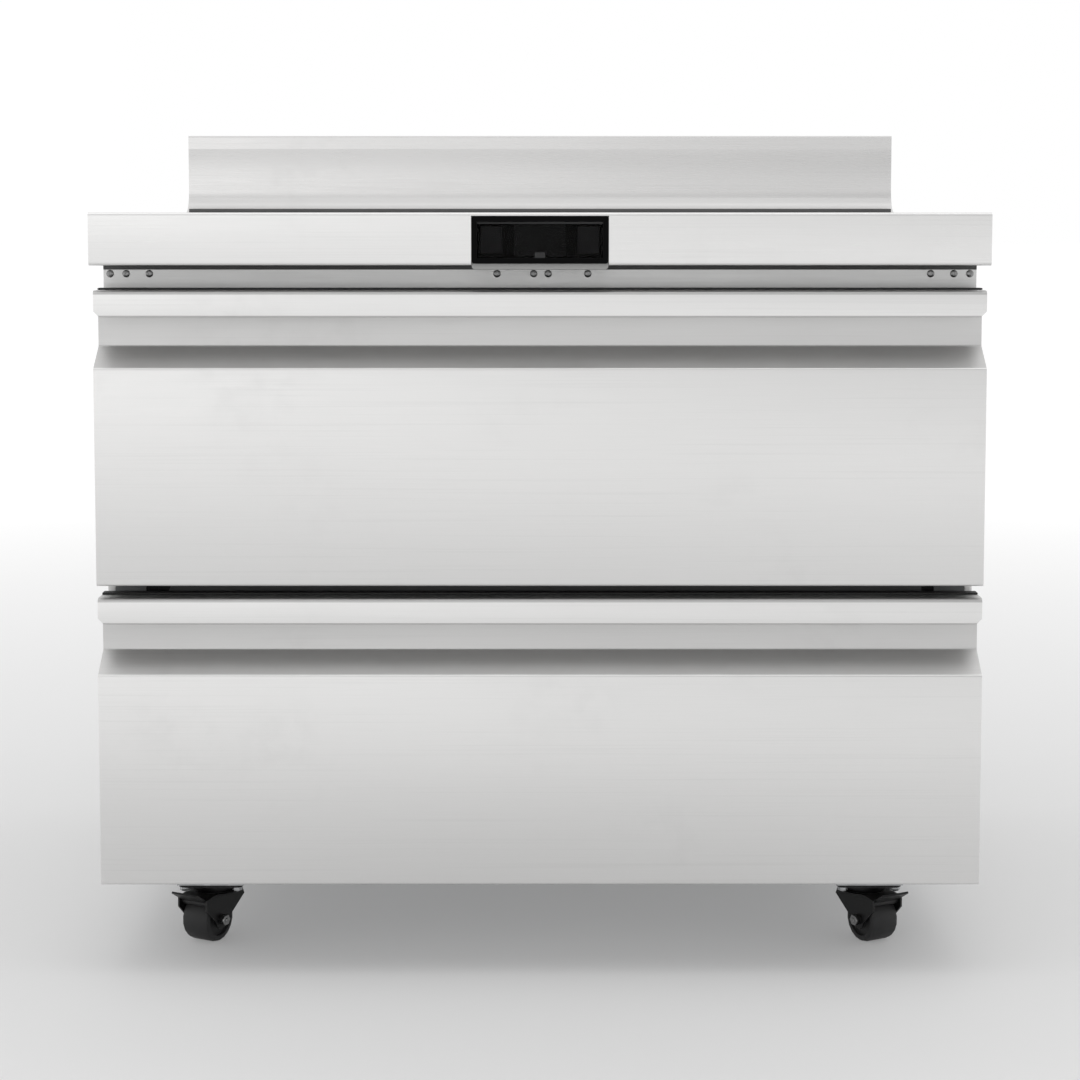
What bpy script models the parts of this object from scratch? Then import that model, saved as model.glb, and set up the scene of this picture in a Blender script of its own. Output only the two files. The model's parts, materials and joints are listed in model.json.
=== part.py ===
"""Worktop drawer refrigerator: an insulated steel cabinet on four swivel casters, with two full-width
drawers on roller slides, a formed steel worktop with a backsplash, a controller in the worktop's front
edge, and a condensing unit behind a louvred cover at the back.

Units are metres, +Z is up, -Y is the front. The origin is at floor level, under the middle of the object.
"""

import math

import bmesh
import bpy
from mathutils import Matrix, Vector

# Clearances and drawing steps shared by all pieces
touch_gap = 0.0003
overrun = 0.004
weld_distance = 0.00001
bend_steps = 3
round_segments = 20
small_segments = 12
crown_segments = 14
wheel_segments = 18
tube_resolution = 1
line_bend_steps = 3
bevel_segments = 2
fork_arc_steps = 6
brake_arc_steps = 10
wheel_shoulder_steps = 2
pivot_size = 0.02
smooth_angle = math.radians(35)

# Overall sizes
overall_width = 0.922
overall_depth = 0.762
worktop_height = 0.797

# Worktop with its backsplash
worktop_edge_height = 0.054
worktop_sheet = 0.0015
worktop_bend = 0.0035
worktop_return = 0.018
backsplash_rise = 0.100
backsplash_thickness = 0.023
backsplash_cove = 0.030
backsplash_bend = 0.0025

# Cabinet body
worktop_overhang = 0.004
body_setback = 0.065
body_back_inset = 0.006
panel_sheet = 0.0012
side_wall = 0.040
side_flange = 0.0075
frame_thickness = 0.008
liner_sheet = 0.001
back_wall = 0.040
hump_wall = 0.038

# Machine bay behind and under the storage space
bay_depth = 0.190
bay_height_share = 0.4214

# Base and caster channels
caster_height = 0.067
channel_height = 0.016
channel_sheet = 0.002
channel_front_inset = 0.045
base_sheet = 0.0015

# Drawer fronts
drawer_overhang = 0.0015
drawer_inset = 0.004
rail_reveal = 0.0258
floor_reveal = 0.014
drawer_gap = 0.0135
upper_drawer_share = 0.50305
front_thickness = 0.049
front_sheet = 0.0012
front_bend = 0.003
lip_setback = 0.005
lip_height = 0.0273
lip_hem = 0.004
lip_top_bend = 0.0042
lip_corner_cut = 0.006
pocket_rise = 0.012
recess_depth = 0.034
recess_height = 0.0583
slant_height = 0.0800

# Inner panel of a drawer front and its magnetic gasket
inner_panel_sheet = 0.002
dyke_depth = 0.017
dyke_margin = 0.010
dyke_bevel = 0.006
gasket_edge = 0.005
gasket_width = 0.015
gasket_land = 0.003
gasket_waist = 0.004
gasket_magnet_depth = 0.005

# Mullion between the drawers
mullion_depth = 0.045
mullion_sheet = 0.0015
mullion_block_width = 0.026
mullion_block_proud = 0.0005
mullion_block_step = 0.002
mullion_block_step_depth = 0.0015

# Slides
rail_height = 0.038
rail_sheet = 0.0015
rail_flange = 0.0165
rail_front_inset = 0.012
rail_lift = 0.016
rail_back_clearance = 0.008
roller_width = 0.010
roller_side_clearance = 0.0016
roller_pin_radius = 0.003
roller_pin_play = 0.0003
roller_pin_head_radius = 0.0048
roller_pin_head = 0.0012
roller_inset = 0.021
roller_stop = 0.004
slide_space = 0.0205

# Drawer frame, which carries the pans
frame_sheet = 0.0015
pan_depth = 0.150
pan_clearance = 0.008
frame_top_flange = 0.016
frame_bottom_flange = 0.024
frame_back_clearance = 0.016
frame_slot_count = 3
frame_slot_height = 0.050
frame_slot_margin = 0.055
frame_slot_corner = 0.012
frame_slot_share = 0.77

# Controller in the worktop's front edge
bezel_width = 0.140
bezel_height = 0.0485
bezel_top_margin = 0.0036
bezel_thickness = 0.010
bezel_corner = 0.0028
bezel_rim = 0.0055
bezel_recess = 0.0038
controller_body_margin = 0.007
controller_body_depth = 0.030
bracket_hang = 0.0040
bracket_sheet = 0.0012
bracket_corner = 0.003
display_width = 0.0525
display_height = 0.0330
display_depth = 0.006
key_width = 0.0220
key_height = 0.0270
key_depth = 0.006
key_travel = 0.001
key_stand = 0.0008
key_spacing = 0.0495
cover_sheet = 0.0014
cover_gap = 0.0005
cover_barrel_radius = 0.0011
cover_tab_width = 0.0105
cover_tab_height = 0.0055
cover_tab_depth = 0.0016

# Casters
caster_side_inset = 0.098
caster_front_inset = 0.148
caster_back_inset = 0.120
caster_plate_width = 0.072
caster_plate_depth = 0.074
caster_plate_sheet = 0.0025
caster_plate_corner = 0.008
caster_boss_radius = 0.0185
caster_boss_height = 0.0045
caster_race_radius = 0.0235
caster_race_height = 0.0062
caster_crown_radius = 0.0275
caster_fork_sheet = 0.0020
caster_pin_radius = 0.004
caster_pin_head_radius = 0.0062
caster_pin_head = 0.0013
caster_pin_play = 0.0004
wheel_radius = 0.025
wheel_width = 0.034
wheel_side_gap = 0.0008
wheel_shoulder = 0.004
wheel_disc_radius = 0.0185
wheel_disc_recess = 0.0035
wheel_trail = 0.013
axle_radius = 0.0034
axle_play = 0.0004
axle_head_radius = 0.0058
axle_head_height = 0.0030
fork_boss_radius = 0.0105
fork_ear = 0.0065
brake_pivot_reach = 0.0335
brake_pivot_height = 0.0470
brake_barrel_radius = 0.0030
brake_pin_radius = 0.0014
brake_lobe = 0.0016
brake_tread_length = 0.0210
brake_tread_sheet = 0.0022
brake_side_gap = 0.0006
brake_lobe_sharpness = 3
fork_arc_margin = math.radians(10)
front_caster_turn = math.radians(210)
rear_caster_turn = math.radians(14)
brake_turn = math.radians(25)
brake_rest_slope = math.radians(32)

# Condensing unit
tray_side_inset = 0.027
tray_front_gap = 0.006
tray_depth = 0.178
tray_sheet = 0.0015
tray_rim = 0.014
compressor_side_inset = 0.145
compressor_radius = 0.074
compressor_top_gap = 0.0874
compressor_shoulder = 0.0247
compressor_seam = 0.004
compressor_foot_width = 0.170
compressor_foot_depth = 0.130
compressor_foot_sheet = 0.003
compressor_foot_lift = 0.016
grommet_radius = 0.011
terminal_box_width = 0.055
terminal_box_height = 0.060
terminal_box_depth = 0.024
stub_rise = 0.012
stub_offset = 0.030
condenser_side_inset = 0.180
condenser_back_gap = 0.010
condenser_width = 0.300
condenser_top_gap = 0.0644
condenser_depth = 0.045
condenser_fin_count = 16
fin_share = 0.18
fin_depth_share = 0.75
coil_fin_reach = 0.004
coil_tube_radius = 0.0044
coil_row_pitch = 0.072
coil_bend_radius = 0.0130
shroud_depth = 0.022
shroud_sheet = 0.0012
condenser_fan_margin = 0.017
fan_tip_gap = 0.004
fan_hub_radius = 0.022
fan_hub_depth = 0.018
fan_blade_sheet = 0.0018
fan_blade_count = 5
fan_blade_depth = 0.020
blade_root_share = 0.85
blade_tip_share = 0.36
blade_root_width_share = 0.15
blade_pitch = math.radians(24)
motor_radius = 0.034
motor_length = 0.042
motor_rim = 0.0057
motor_shaft_radius = 0.004
motor_shaft_length = 0.008
motor_bracket_width = 0.030
motor_bracket_sheet = 0.003

# Evaporator behind its cover, above the machine bay
evaporator_side_inset = 0.177
evaporator_top_gap = 0.0652
evaporator_depth = 0.060
evaporator_fin_count = 16
evaporator_lift = 0.030
evaporator_plate_sheet = 0.0015
evaporator_plate_reach = 0.004
evaporator_cover_sheet = 0.0012
evaporator_cover_setback = 0.020
evaporator_cover_flange = 0.018
evaporator_cover_side_gap = 0.020
evaporator_fan_radius = 0.078
evaporator_fan_gap = 0.012
evaporator_motor_length = 0.026
motor_strap_width = 0.020
motor_strap_clearance = 0.010
guard_ring_count = 3
guard_bar = 0.0030
guard_spoke_count = 6
return_slot_count = 4
return_slot_width = 0.008
return_slot_height = 0.100
return_slot_pitch = 0.018
high_port_share = 0.95
low_port_share = 0.05

# Copper lines and the hole they take through the insulation
line_radius = 0.0045
line_bend = 0.020
line_hole_radius = 0.024
line_hole_side_inset = 0.087
line_hole_inset = 0.016
line_spacing = 0.016
drier_length = 0.110
drier_radius = 0.010
drier_taper = 0.006

# Back panel, louvred machine cover and the gland for the supply cord
louvre_columns = 3
louvre_rows = 6
louvre_height = 0.008
louvre_pitch = 0.0340
louvre_column_gap = 0.030
louvre_side_margin = 0.045
louvre_depth = 0.0045
gland_radius = 0.011
gland_flange_radius = 0.015
gland_bore_radius = 0.0045
gland_length = 0.020
gland_flange = 0.0030
gland_side_inset = 0.025
gland_height = 0.040

# Places worked out from the sizes
front_y = -overall_depth / 2
back_y = overall_depth / 2
half_width = overall_width / 2
half_body = half_width - worktop_overhang
half_drawer = half_body + drawer_overhang
edge_bottom = worktop_height - worktop_edge_height
body_top = edge_bottom - touch_gap
body_bottom = caster_height + channel_height
body_front = front_y + body_setback
body_back = back_y - body_back_inset
frame_back = body_front + frame_thickness
half_opening = half_body - side_wall

drawer_face = front_y + drawer_inset
front_back = drawer_face + front_thickness
upper_top = edge_bottom - rail_reveal
lower_bottom = body_bottom + floor_reveal
upper_bottom = upper_top - (upper_top - lower_bottom - drawer_gap) * upper_drawer_share
lower_top = upper_bottom - drawer_gap
seal_margin = gasket_edge + gasket_width + gasket_land
opening_top = upper_top - seal_margin
opening_bottom = lower_bottom + seal_margin
mullion_top = upper_bottom + seal_margin
mullion_bottom = lower_top - seal_margin

bay_front = body_back - bay_depth
bay_top = body_bottom + (body_top - body_bottom) * bay_height_share
liner_front = frame_back + touch_gap
liner_low_back = bay_front - hump_wall
liner_hump = bay_top + hump_wall
liner_high_back = body_back - back_wall

dyke_back = front_back + dyke_depth
frame_half = half_opening - slide_space
frame_front_y = dyke_back + touch_gap
frame_back_y = liner_low_back - frame_back_clearance
rail_front_y = body_front + rail_front_inset
rail_back_y = liner_low_back - rail_back_clearance
rail_web_outer = half_opening - touch_gap
rail_web_inner = rail_web_outer - rail_sheet
rail_inner_height = rail_height - 2 * rail_sheet
drawer_web_inner = frame_half + touch_gap
drawer_web_outer = drawer_web_inner + rail_sheet
front_roller_radius = (rail_inner_height - rail_sheet - 3 * touch_gap) / 2
rear_roller_radius = (rail_inner_height - 2 * touch_gap) / 2
front_roller_y = rail_front_y + roller_inset
rear_roller_y = frame_back_y - roller_inset

caster_x = half_body - caster_side_inset
caster_front_y = front_y + caster_front_inset
caster_back_y = back_y - caster_back_inset
caster_places = {
    "front_left": (-caster_x, caster_front_y, -front_caster_turn),
    "front_right": (caster_x, caster_front_y, front_caster_turn),
    "rear_left": (-caster_x, caster_back_y, -rear_caster_turn),
    "rear_right": (caster_x, caster_back_y, rear_caster_turn),
}
crown_top = caster_height - caster_plate_sheet - caster_boss_height - caster_race_height
crown_bottom = crown_top - caster_fork_sheet

# Colour, roughness and metallic value of each finish
finishes = {
    "stainless": ((0.62, 0.62, 0.61), 0.32, 1.0),
    "galvanised": ((0.52, 0.54, 0.55), 0.45, 1.0),
    "aluminium": ((0.72, 0.73, 0.74), 0.38, 1.0),
    "foam": ((0.86, 0.78, 0.55), 0.9, 0.0),
    "liner_white": ((0.80, 0.81, 0.81), 0.45, 0.0),
    "grey_plastic": ((0.30, 0.31, 0.32), 0.55, 0.0),
    "black_plastic": ((0.015, 0.015, 0.016), 0.45, 0.0),
    "smoked_plastic": ((0.012, 0.012, 0.013), 0.12, 0.0),
    "display_glass": ((0.006, 0.006, 0.007), 0.08, 0.0),
    "rubber": ((0.035, 0.035, 0.036), 0.7, 0.0),
    "black_paint": ((0.020, 0.020, 0.021), 0.4, 0.0),
    "copper": ((0.72, 0.38, 0.24), 0.3, 1.0),
}


def new_collection(name):
    group = bpy.data.collections.new(name)
    bpy.context.scene.collection.children.link(group)
    return group


def clear_scene():
    for item in list(bpy.data.objects):
        bpy.data.objects.remove(item)


def material_for(name, finish):
    colour, roughness, metallic = finishes[finish]
    material = bpy.data.materials.new(name + "_material")
    material.use_nodes = True
    shader = material.node_tree.nodes["Principled BSDF"]
    shader.inputs["Base Color"].default_value = (*colour, 1.0)
    shader.inputs["Roughness"].default_value = roughness
    shader.inputs["Metallic"].default_value = metallic
    return material


def object_from(name, shape):
    """A new object whose mesh is the given bmesh."""
    mesh = bpy.data.meshes.new(name)
    shape.to_mesh(mesh)
    shape.free()
    return bpy.data.objects.new(name, mesh)


def as_part(item, finish, smooth=False):
    """Puts an object among the parts, with a material of its own."""
    item.data.materials.clear()
    item.data.materials.append(material_for(item.name, finish))
    if smooth:
        item.data.shade_smooth()
        item.data.set_sharp_from_angle(angle=smooth_angle)
    parts.objects.link(item)
    return item


def as_cutter(item):
    """Puts an object among the helpers, which only shape other pieces."""
    item.display_type = "WIRE"
    item.hide_render = True
    cutters.objects.link(item)
    return item


def box_shape(low, high):
    shape = bmesh.new()
    bmesh.ops.create_cube(shape, size=1)
    size = Vector(high) - Vector(low)
    middle = (Vector(high) + Vector(low)) / 2
    place = Matrix.Translation(middle) @ Matrix.Diagonal((*size, 1))
    bmesh.ops.transform(shape, matrix=place, verts=shape.verts)
    return shape


def box(name, low, high):
    return object_from(name, box_shape(low, high))


def boxes(name, spans):
    """One object of several separate boxes, each given as its low and high corner."""
    shape = bmesh.new()
    for low, high in spans:
        single = box_shape(low, high)
        mesh = bpy.data.meshes.new(name)
        single.to_mesh(mesh)
        single.free()
        shape.from_mesh(mesh)
        bpy.data.meshes.remove(mesh)
    return object_from(name, shape)


def rounded(corners, steps=bend_steps):
    """The points of a closed outline whose corners are (u, v, bend radius)."""
    points = []
    for index, (u, v, radius) in enumerate(corners):
        here = Vector((u, v))
        if radius <= 0:
            points.append(here)
            continue
        before = (Vector(corners[index - 1][:2]) - here).normalized()
        after = (Vector(corners[(index + 1) % len(corners)][:2]) - here).normalized()
        half_angle = before.angle(after) / 2
        centre = here + (before + after).normalized() * radius / math.sin(half_angle)
        run = radius / math.tan(half_angle)
        start = here + before * run - centre
        end = here + after * run - centre
        first = math.atan2(start.y, start.x)
        sweep = math.remainder(math.atan2(end.y, end.x) - first, math.tau)
        for step in range(steps + 1):
            angle = first + sweep * step / steps
            points.append(centre + radius * Vector((math.cos(angle), math.sin(angle))))
    return points


def inset(corners, distance):
    """An anticlockwise outline moved inward, with every bend kept about the same centre."""
    moved = []
    for index, (u, v, radius) in enumerate(corners):
        here = Vector((u, v))
        incoming = (here - Vector(corners[index - 1][:2])).normalized()
        outgoing = (Vector(corners[(index + 1) % len(corners)][:2]) - here).normalized()
        normal_in = Vector((-incoming.y, incoming.x))
        normal_out = Vector((-outgoing.y, outgoing.x))
        shift = (normal_in + normal_out) * distance / (1 + normal_in.dot(normal_out))
        outer_corner = incoming.x * outgoing.y - incoming.y * outgoing.x > 0
        if radius > 0:
            radius = max(radius - distance, 0) if outer_corner else radius + distance
        moved.append((u + shift.x, v + shift.y, radius))
    return moved


def rectangle(left, bottom, right, top, radius=0):
    return [(left, bottom, radius), (right, bottom, radius), (right, top, radius), (left, top, radius)]


def circle(u, v, radius, segments=small_segments):
    angles = [math.tau * step / segments for step in range(segments)]
    return [Vector((u + radius * math.cos(angle), v + radius * math.sin(angle))) for angle in angles]


def slab(name, outlines, low, high, facing="X"):
    """A solid of flat outlines, thick from low to high along the axis that it faces.

    Facing X the outline lies in (Y, Z), facing Y in (X, Z) and facing Z in (X, Y). Outlines
    inside the first one are holes.
    """
    curve = bpy.data.curves.new(name, "CURVE")
    curve.dimensions = "2D"
    curve.fill_mode = "BOTH"
    curve.extrude = (high - low) / 2
    for outline in outlines:
        spline = curve.splines.new("POLY")
        spline.points.add(len(outline) - 1)
        for point, place in zip(spline.points, outline):
            point.co = (place[0], place[1], 0, 1)
        spline.use_cyclic_u = True
    middle = (low + high) / 2
    if facing == "X":
        turn = Matrix(((0, 0, 1, middle), (1, 0, 0, 0), (0, 1, 0, 0), (0, 0, 0, 1)))
    elif facing == "Y":
        turn = Matrix(((1, 0, 0, 0), (0, 0, -1, middle), (0, 1, 0, 0), (0, 0, 0, 1)))
    else:
        turn = Matrix.Translation((0, 0, middle))
    return solid_of(name, bpy.data.objects.new(name + "_guide", curve), turn)


def solid_of(name, guide, place=None):
    """The closed mesh object of a guide curve or profile, welded and with its faces turned outward."""
    bpy.context.scene.collection.objects.link(guide)
    bpy.context.view_layer.update()
    evaluated = guide.evaluated_get(bpy.context.evaluated_depsgraph_get())
    mesh = bpy.data.meshes.new_from_object(evaluated)
    shape = bmesh.new()
    shape.from_mesh(mesh)
    bpy.data.meshes.remove(mesh)
    bpy.data.objects.remove(guide)
    bmesh.ops.remove_doubles(shape, verts=shape.verts, dist=weld_distance)
    if place is not None:
        bmesh.ops.transform(shape, matrix=place, verts=shape.verts)
    bmesh.ops.recalc_face_normals(shape, faces=shape.faces)
    return object_from(name, shape)


def tube(name, points, radius):
    """A round tube along a line of points, with closed ends."""
    curve = bpy.data.curves.new(name, "CURVE")
    curve.dimensions = "3D"
    curve.bevel_depth = radius
    curve.bevel_resolution = tube_resolution
    curve.use_fill_caps = True
    spline = curve.splines.new("POLY")
    spline.points.add(len(points) - 1)
    for point, place in zip(spline.points, points):
        point.co = (*place, 1)
    return solid_of(name, bpy.data.objects.new(name + "_guide", curve))


def routed(corners, bend):
    """Points along straight runs between corners, with each inner corner taken by an arc."""
    points = [Vector(corners[0])]
    for before, here, after in zip(corners, corners[1:], corners[2:]):
        here = Vector(here)
        to_before = (Vector(before) - here).normalized()
        to_after = (Vector(after) - here).normalized()
        half_angle = to_before.angle(to_after) / 2
        run = bend / math.tan(half_angle)
        centre = here + (to_before + to_after).normalized() * bend / math.sin(half_angle)
        start = (here + to_before * run - centre).normalized()
        end = (here + to_after * run - centre).normalized()
        for step in range(line_bend_steps + 1):
            points.append(centre + bend * start.slerp(end, step / line_bend_steps))
    points.append(Vector(corners[-1]))
    return points


def turned(name, profile, segments=round_segments, closed=False):
    """A turned solid about Z. The profile is (radius, height) from top to bottom on its outer side."""
    edges = [(index, index + 1) for index in range(len(profile) - 1)]
    if closed:
        edges.append((len(profile) - 1, 0))
    outline = bpy.data.meshes.new(name + "_profile")
    outline.from_pydata([(radius, 0, height) for radius, height in profile], edges, [])
    guide = bpy.data.objects.new(name + "_guide", outline)
    step = guide.modifiers.new("turn", "SCREW")
    step.steps = segments
    step.render_steps = segments
    step.use_merge_vertices = True
    step.merge_threshold = weld_distance
    step.use_smooth_shade = False
    return solid_of(name, guide)


def copies(name, source, places):
    """One object of separate copies of a piece, set at each place."""
    shape = bmesh.new()
    for place in places:
        single = bmesh.new()
        single.from_mesh(source.data)
        bmesh.ops.transform(single, matrix=place, verts=single.verts)
        if place.determinant() < 0:
            bmesh.ops.reverse_faces(single, faces=single.faces)
        mesh = bpy.data.meshes.new(name)
        single.to_mesh(mesh)
        single.free()
        shape.from_mesh(mesh)
        bpy.data.meshes.remove(mesh)
    return object_from(name, shape)


def mirrored(item):
    """The piece and its mirror image across the middle plane, as two solids of one object."""
    both = copies(item.name, item, (Matrix.Identity(4), Matrix.Scale(-1, 4, (1, 0, 0))))
    bpy.data.objects.remove(item)
    return both


def moved(item, place):
    item.data.transform(place)
    return item


def shaped(item, tool, operation):
    """Cuts or joins a tool object into an object with a Boolean modifier."""
    as_cutter(tool)
    step = item.modifiers.new(tool.name, "BOOLEAN")
    step.operation = operation
    step.object = tool
    step.solver = "EXACT"
    return item


def cut(item, tool):
    return shaped(item, tool, "DIFFERENCE")


def joined(item, tool):
    return shaped(item, tool, "UNION")


def turn_to_x(item):
    """Lays a piece turned about Z along X."""
    return moved(item, Matrix.Rotation(math.pi / 2, 4, "Y"))


def turn_to_y(item):
    """Lays a piece turned about Z along Y, its top to the back."""
    return moved(item, Matrix.Rotation(-math.pi / 2, 4, "X"))


def at(x, y, z):
    return Matrix.Translation((x, y, z))


def pivot(name, place):
    """An empty on a joint's axis, which carries the pieces that move with it."""
    empty = bpy.data.objects.new(name, None)
    empty.location = place
    empty.empty_display_size = pivot_size
    parts.objects.link(empty)
    return empty


def carry(item, carrier):
    """Parents a piece to the pivot that carries it, where it stands."""
    item.parent = carrier
    item.matrix_parent_inverse = Matrix.Translation(-Vector(carrier.location))
    return item


def centre_on(item, place):
    """Moves a piece's origin to a place on its joint's axis without moving the piece."""
    item.data.transform(Matrix.Translation(-Vector(place)))
    item.location = place
    return item


def channel(front, back, bottom, top, sheet, bend=0):
    """The section in (Y, Z) of a sheet channel that is open at the back."""
    return [
        (front, bottom, bend),
        (back, bottom, 0),
        (back, bottom + sheet, 0),
        (front + sheet, bottom + sheet, 0),
        (front + sheet, top - sheet, 0),
        (back, top - sheet, 0),
        (back, top, 0),
        (front, top, bend),
    ]


# Worktop and controller


def worktop_outline():
    splash_front = back_y - backsplash_thickness
    splash_top = worktop_height + backsplash_rise
    return [
        (front_y, edge_bottom, worktop_bend),
        (back_y, edge_bottom, backsplash_bend),
        (back_y, splash_top, backsplash_bend),
        (splash_front, splash_top, backsplash_bend),
        (splash_front, worktop_height, backsplash_cove),
        (front_y, worktop_height, worktop_bend),
    ]


def make_worktop():
    """The formed sheet of the worktop and its backsplash, open underneath over the cabinet."""
    outline = worktop_outline()
    item = slab("worktop", [rounded(outline, bend_steps + 2)], -half_width, half_width)
    hollow = rounded(inset(outline, worktop_sheet), bend_steps + 2)
    inner_half = half_width - worktop_sheet
    cut(item, slab("worktop_hollow", [hollow], -inner_half, inner_half))
    open_half = half_body - worktop_return
    below = box(
        "worktop_opening",
        (-open_half, body_front + worktop_return, edge_bottom - overrun),
        (open_half, body_back - worktop_return, edge_bottom + worktop_sheet + overrun),
    )
    cut(item, below)
    notch_half = bezel_width / 2 + touch_gap
    notch = box(
        "controller_notch",
        (-notch_half, front_y - overrun, edge_bottom - overrun),
        (notch_half, controller_back + touch_gap, bezel_top + touch_gap),
    )
    cut(item, notch)
    return as_part(item, "stainless", smooth=True)


def make_bracket():
    """The sheet bracket behind the bezel, whose lower edge shows under the worktop's edge."""
    half = bezel_width / 2
    outer = [
        (-half, edge_bottom - bracket_hang, bracket_corner),
        (half, edge_bottom - bracket_hang, bracket_corner),
        (half, bezel_top, 0),
        (-half, bezel_top, 0),
    ]
    margin = controller_body_margin - touch_gap
    window = rectangle(-half + margin, bezel_bottom + margin, half - margin, bezel_top - margin)
    low = front_y + bezel_thickness + touch_gap
    item = slab("controller_bracket", [rounded(outer), rounded(window)], low, low + bracket_sheet, "Y")
    return as_part(item, "stainless")


def make_bezel():
    """The controller's moulded bezel and body, with wells for the display and the two keys."""
    half = bezel_width / 2
    face = rounded(rectangle(-half, bezel_bottom, half, bezel_top, bezel_corner))
    item = slab("controller_bezel", [face], front_y, front_y + bezel_thickness, "Y")
    margin = controller_body_margin
    body = box(
        "controller_body",
        (-half + margin, front_y + bezel_thickness - overrun, bezel_bottom + margin),
        (half - margin, controller_back, bezel_top - margin),
    )
    joined(item, body)
    rim = rounded(inset(rectangle(-half, bezel_bottom, half, bezel_top, bezel_corner), bezel_rim))
    cut(item, slab("bezel_recess_space", [rim], front_y - overrun, bezel_floor, "Y"))
    wells = [rectangle_about(0, bezel_middle, display_width, display_height, touch_gap)]
    for side in (-1, 1):
        wells.append(rectangle_about(side * key_spacing, bezel_middle, key_width, key_height, touch_gap))
    outlines = [rounded(well) for well in wells]
    cut(item, slab("bezel_wells", outlines, bezel_floor - overrun, key_well_back, "Y"))
    return as_part(item, "black_plastic")


def rectangle_about(u, v, width, height, margin=0):
    """A rectangle about a middle, larger by a margin all round."""
    half_u = width / 2 + margin
    half_v = height / 2 + margin
    return rectangle(u - half_u, v - half_v, u + half_u, v + half_v)


def make_display():
    pane = rounded(rectangle_about(0, bezel_middle, display_width, display_height))
    back = key_well_back - touch_gap
    item = slab("controller_display", [pane], back - display_depth, back, "Y")
    return as_part(item, "display_glass")


def make_key(name, side):
    """A key beside the display, which stands out of the bezel's floor and presses in."""
    pad = rounded(rectangle_about(side * key_spacing, bezel_middle, key_width, key_height))
    front = bezel_floor - key_stand
    item = slab(name, [pad], front, front + key_depth, "Y")
    return as_part(centre_on(item, (side * key_spacing, front, bezel_middle)), "black_plastic")


def make_controller_cover():
    """The smoked flap over the controller, with its hinge barrel and finger tab."""
    half = bezel_width / 2 - bezel_rim - cover_gap
    low = bezel_bottom + bezel_rim + cover_gap
    plate = box(
        "controller_cover",
        (-half, cover_front, low),
        (half, cover_front + cover_sheet, cover_axis_z),
    )
    barrel = turn_to_x(turned("cover_barrel", [(0, half), (cover_barrel_radius, half),
                                               (cover_barrel_radius, -half), (0, -half)], small_segments))
    joined(plate, moved(barrel, at(0, cover_axis_y, cover_axis_z)))
    tab = box(
        "cover_tab",
        (-cover_tab_width / 2, cover_front + cover_sheet - cover_tab_depth - touch_gap, low),
        (cover_tab_width / 2, cover_front + cover_sheet / 2, low + cover_tab_height),
    )
    joined(plate, tab)
    return as_part(centre_on(plate, (0, cover_axis_y, cover_axis_z)), "smoked_plastic")


bezel_top = worktop_height - bezel_top_margin
bezel_bottom = bezel_top - bezel_height
bezel_middle = (bezel_top + bezel_bottom) / 2
bezel_floor = front_y + bezel_recess
key_well_back = bezel_floor - key_stand + key_depth + key_travel + touch_gap
controller_back = front_y + controller_body_depth
cover_front = front_y + cover_gap
cover_axis_y = cover_front + cover_sheet / 2
cover_axis_z = bezel_top - bezel_rim - cover_gap - cover_barrel_radius


# Cabinet


def storage_outline(grow, front):
    """The stepped section of the storage space, which is shorter below for the machine bay."""
    return [
        (front, opening_bottom - grow),
        (liner_low_back + grow, opening_bottom - grow),
        (liner_low_back + grow, liner_hump - grow),
        (liner_high_back + grow, liner_hump - grow),
        (liner_high_back + grow, opening_top + grow),
        (front, opening_top + grow),
    ]


def line_hole(name, radius):
    """A vertical hole through the top of the machine bay for the copper lines."""
    hole = turned(name, [(0, liner_hump + overrun), (radius, liner_hump + overrun),
                         (radius, bay_top - overrun), (0, bay_top - overrun)], small_segments)
    return moved(hole, at(line_hole_x, line_hole_y, 0))


def make_liner():
    outer_half = half_opening + liner_sheet
    item = slab("inner_liner", [storage_outline(liner_sheet, liner_front)], -outer_half, outer_half)
    inner = storage_outline(0, liner_front - overrun)
    cut(item, slab("storage_space", [inner], -half_opening, half_opening))
    cut(item, line_hole("liner_line_hole", line_hole_radius))
    return as_part(item, "liner_white")


def make_insulation():
    """The foam between the outer panels and the liner, stepped over the machine bay."""
    half = half_body - panel_sheet - touch_gap
    item = box(
        "insulation",
        (-half, liner_front, base_top + touch_gap),
        (half, body_back - panel_sheet - touch_gap, body_top),
    )
    space_half = half_opening + liner_sheet + touch_gap
    space = storage_outline(liner_sheet + touch_gap, liner_front - overrun)
    cut(item, slab("liner_space", [space], -space_half, space_half))
    bay = box("machine_bay", (-half_body, bay_front, body_bottom), (half_body, back_y, bay_top))
    cut(item, bay)
    cut(item, line_hole("foam_line_hole", line_hole_radius))
    return as_part(item, "foam")


def make_side_panel(name, side):
    """An outer side panel, folded in at the front and notched for the top rail."""
    rail_line = opening_top - touch_gap
    rail_back = frame_back + touch_gap
    outline = [
        (body_front, body_bottom),
        (body_back, body_bottom),
        (body_back, body_top),
        (rail_back, body_top),
        (rail_back, rail_line),
        (body_front, rail_line),
    ]
    item = slab(name, [outline], half_body - panel_sheet, half_body)
    flange = box(
        name + "_flange",
        (half_body - side_flange, body_front, body_bottom),
        (half_body - panel_sheet / 2, body_front + panel_sheet, rail_line),
    )
    if side < 0:
        flipped(item)
        flipped(flange)
    joined(item, flange)
    return as_part(item, "stainless")


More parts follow.
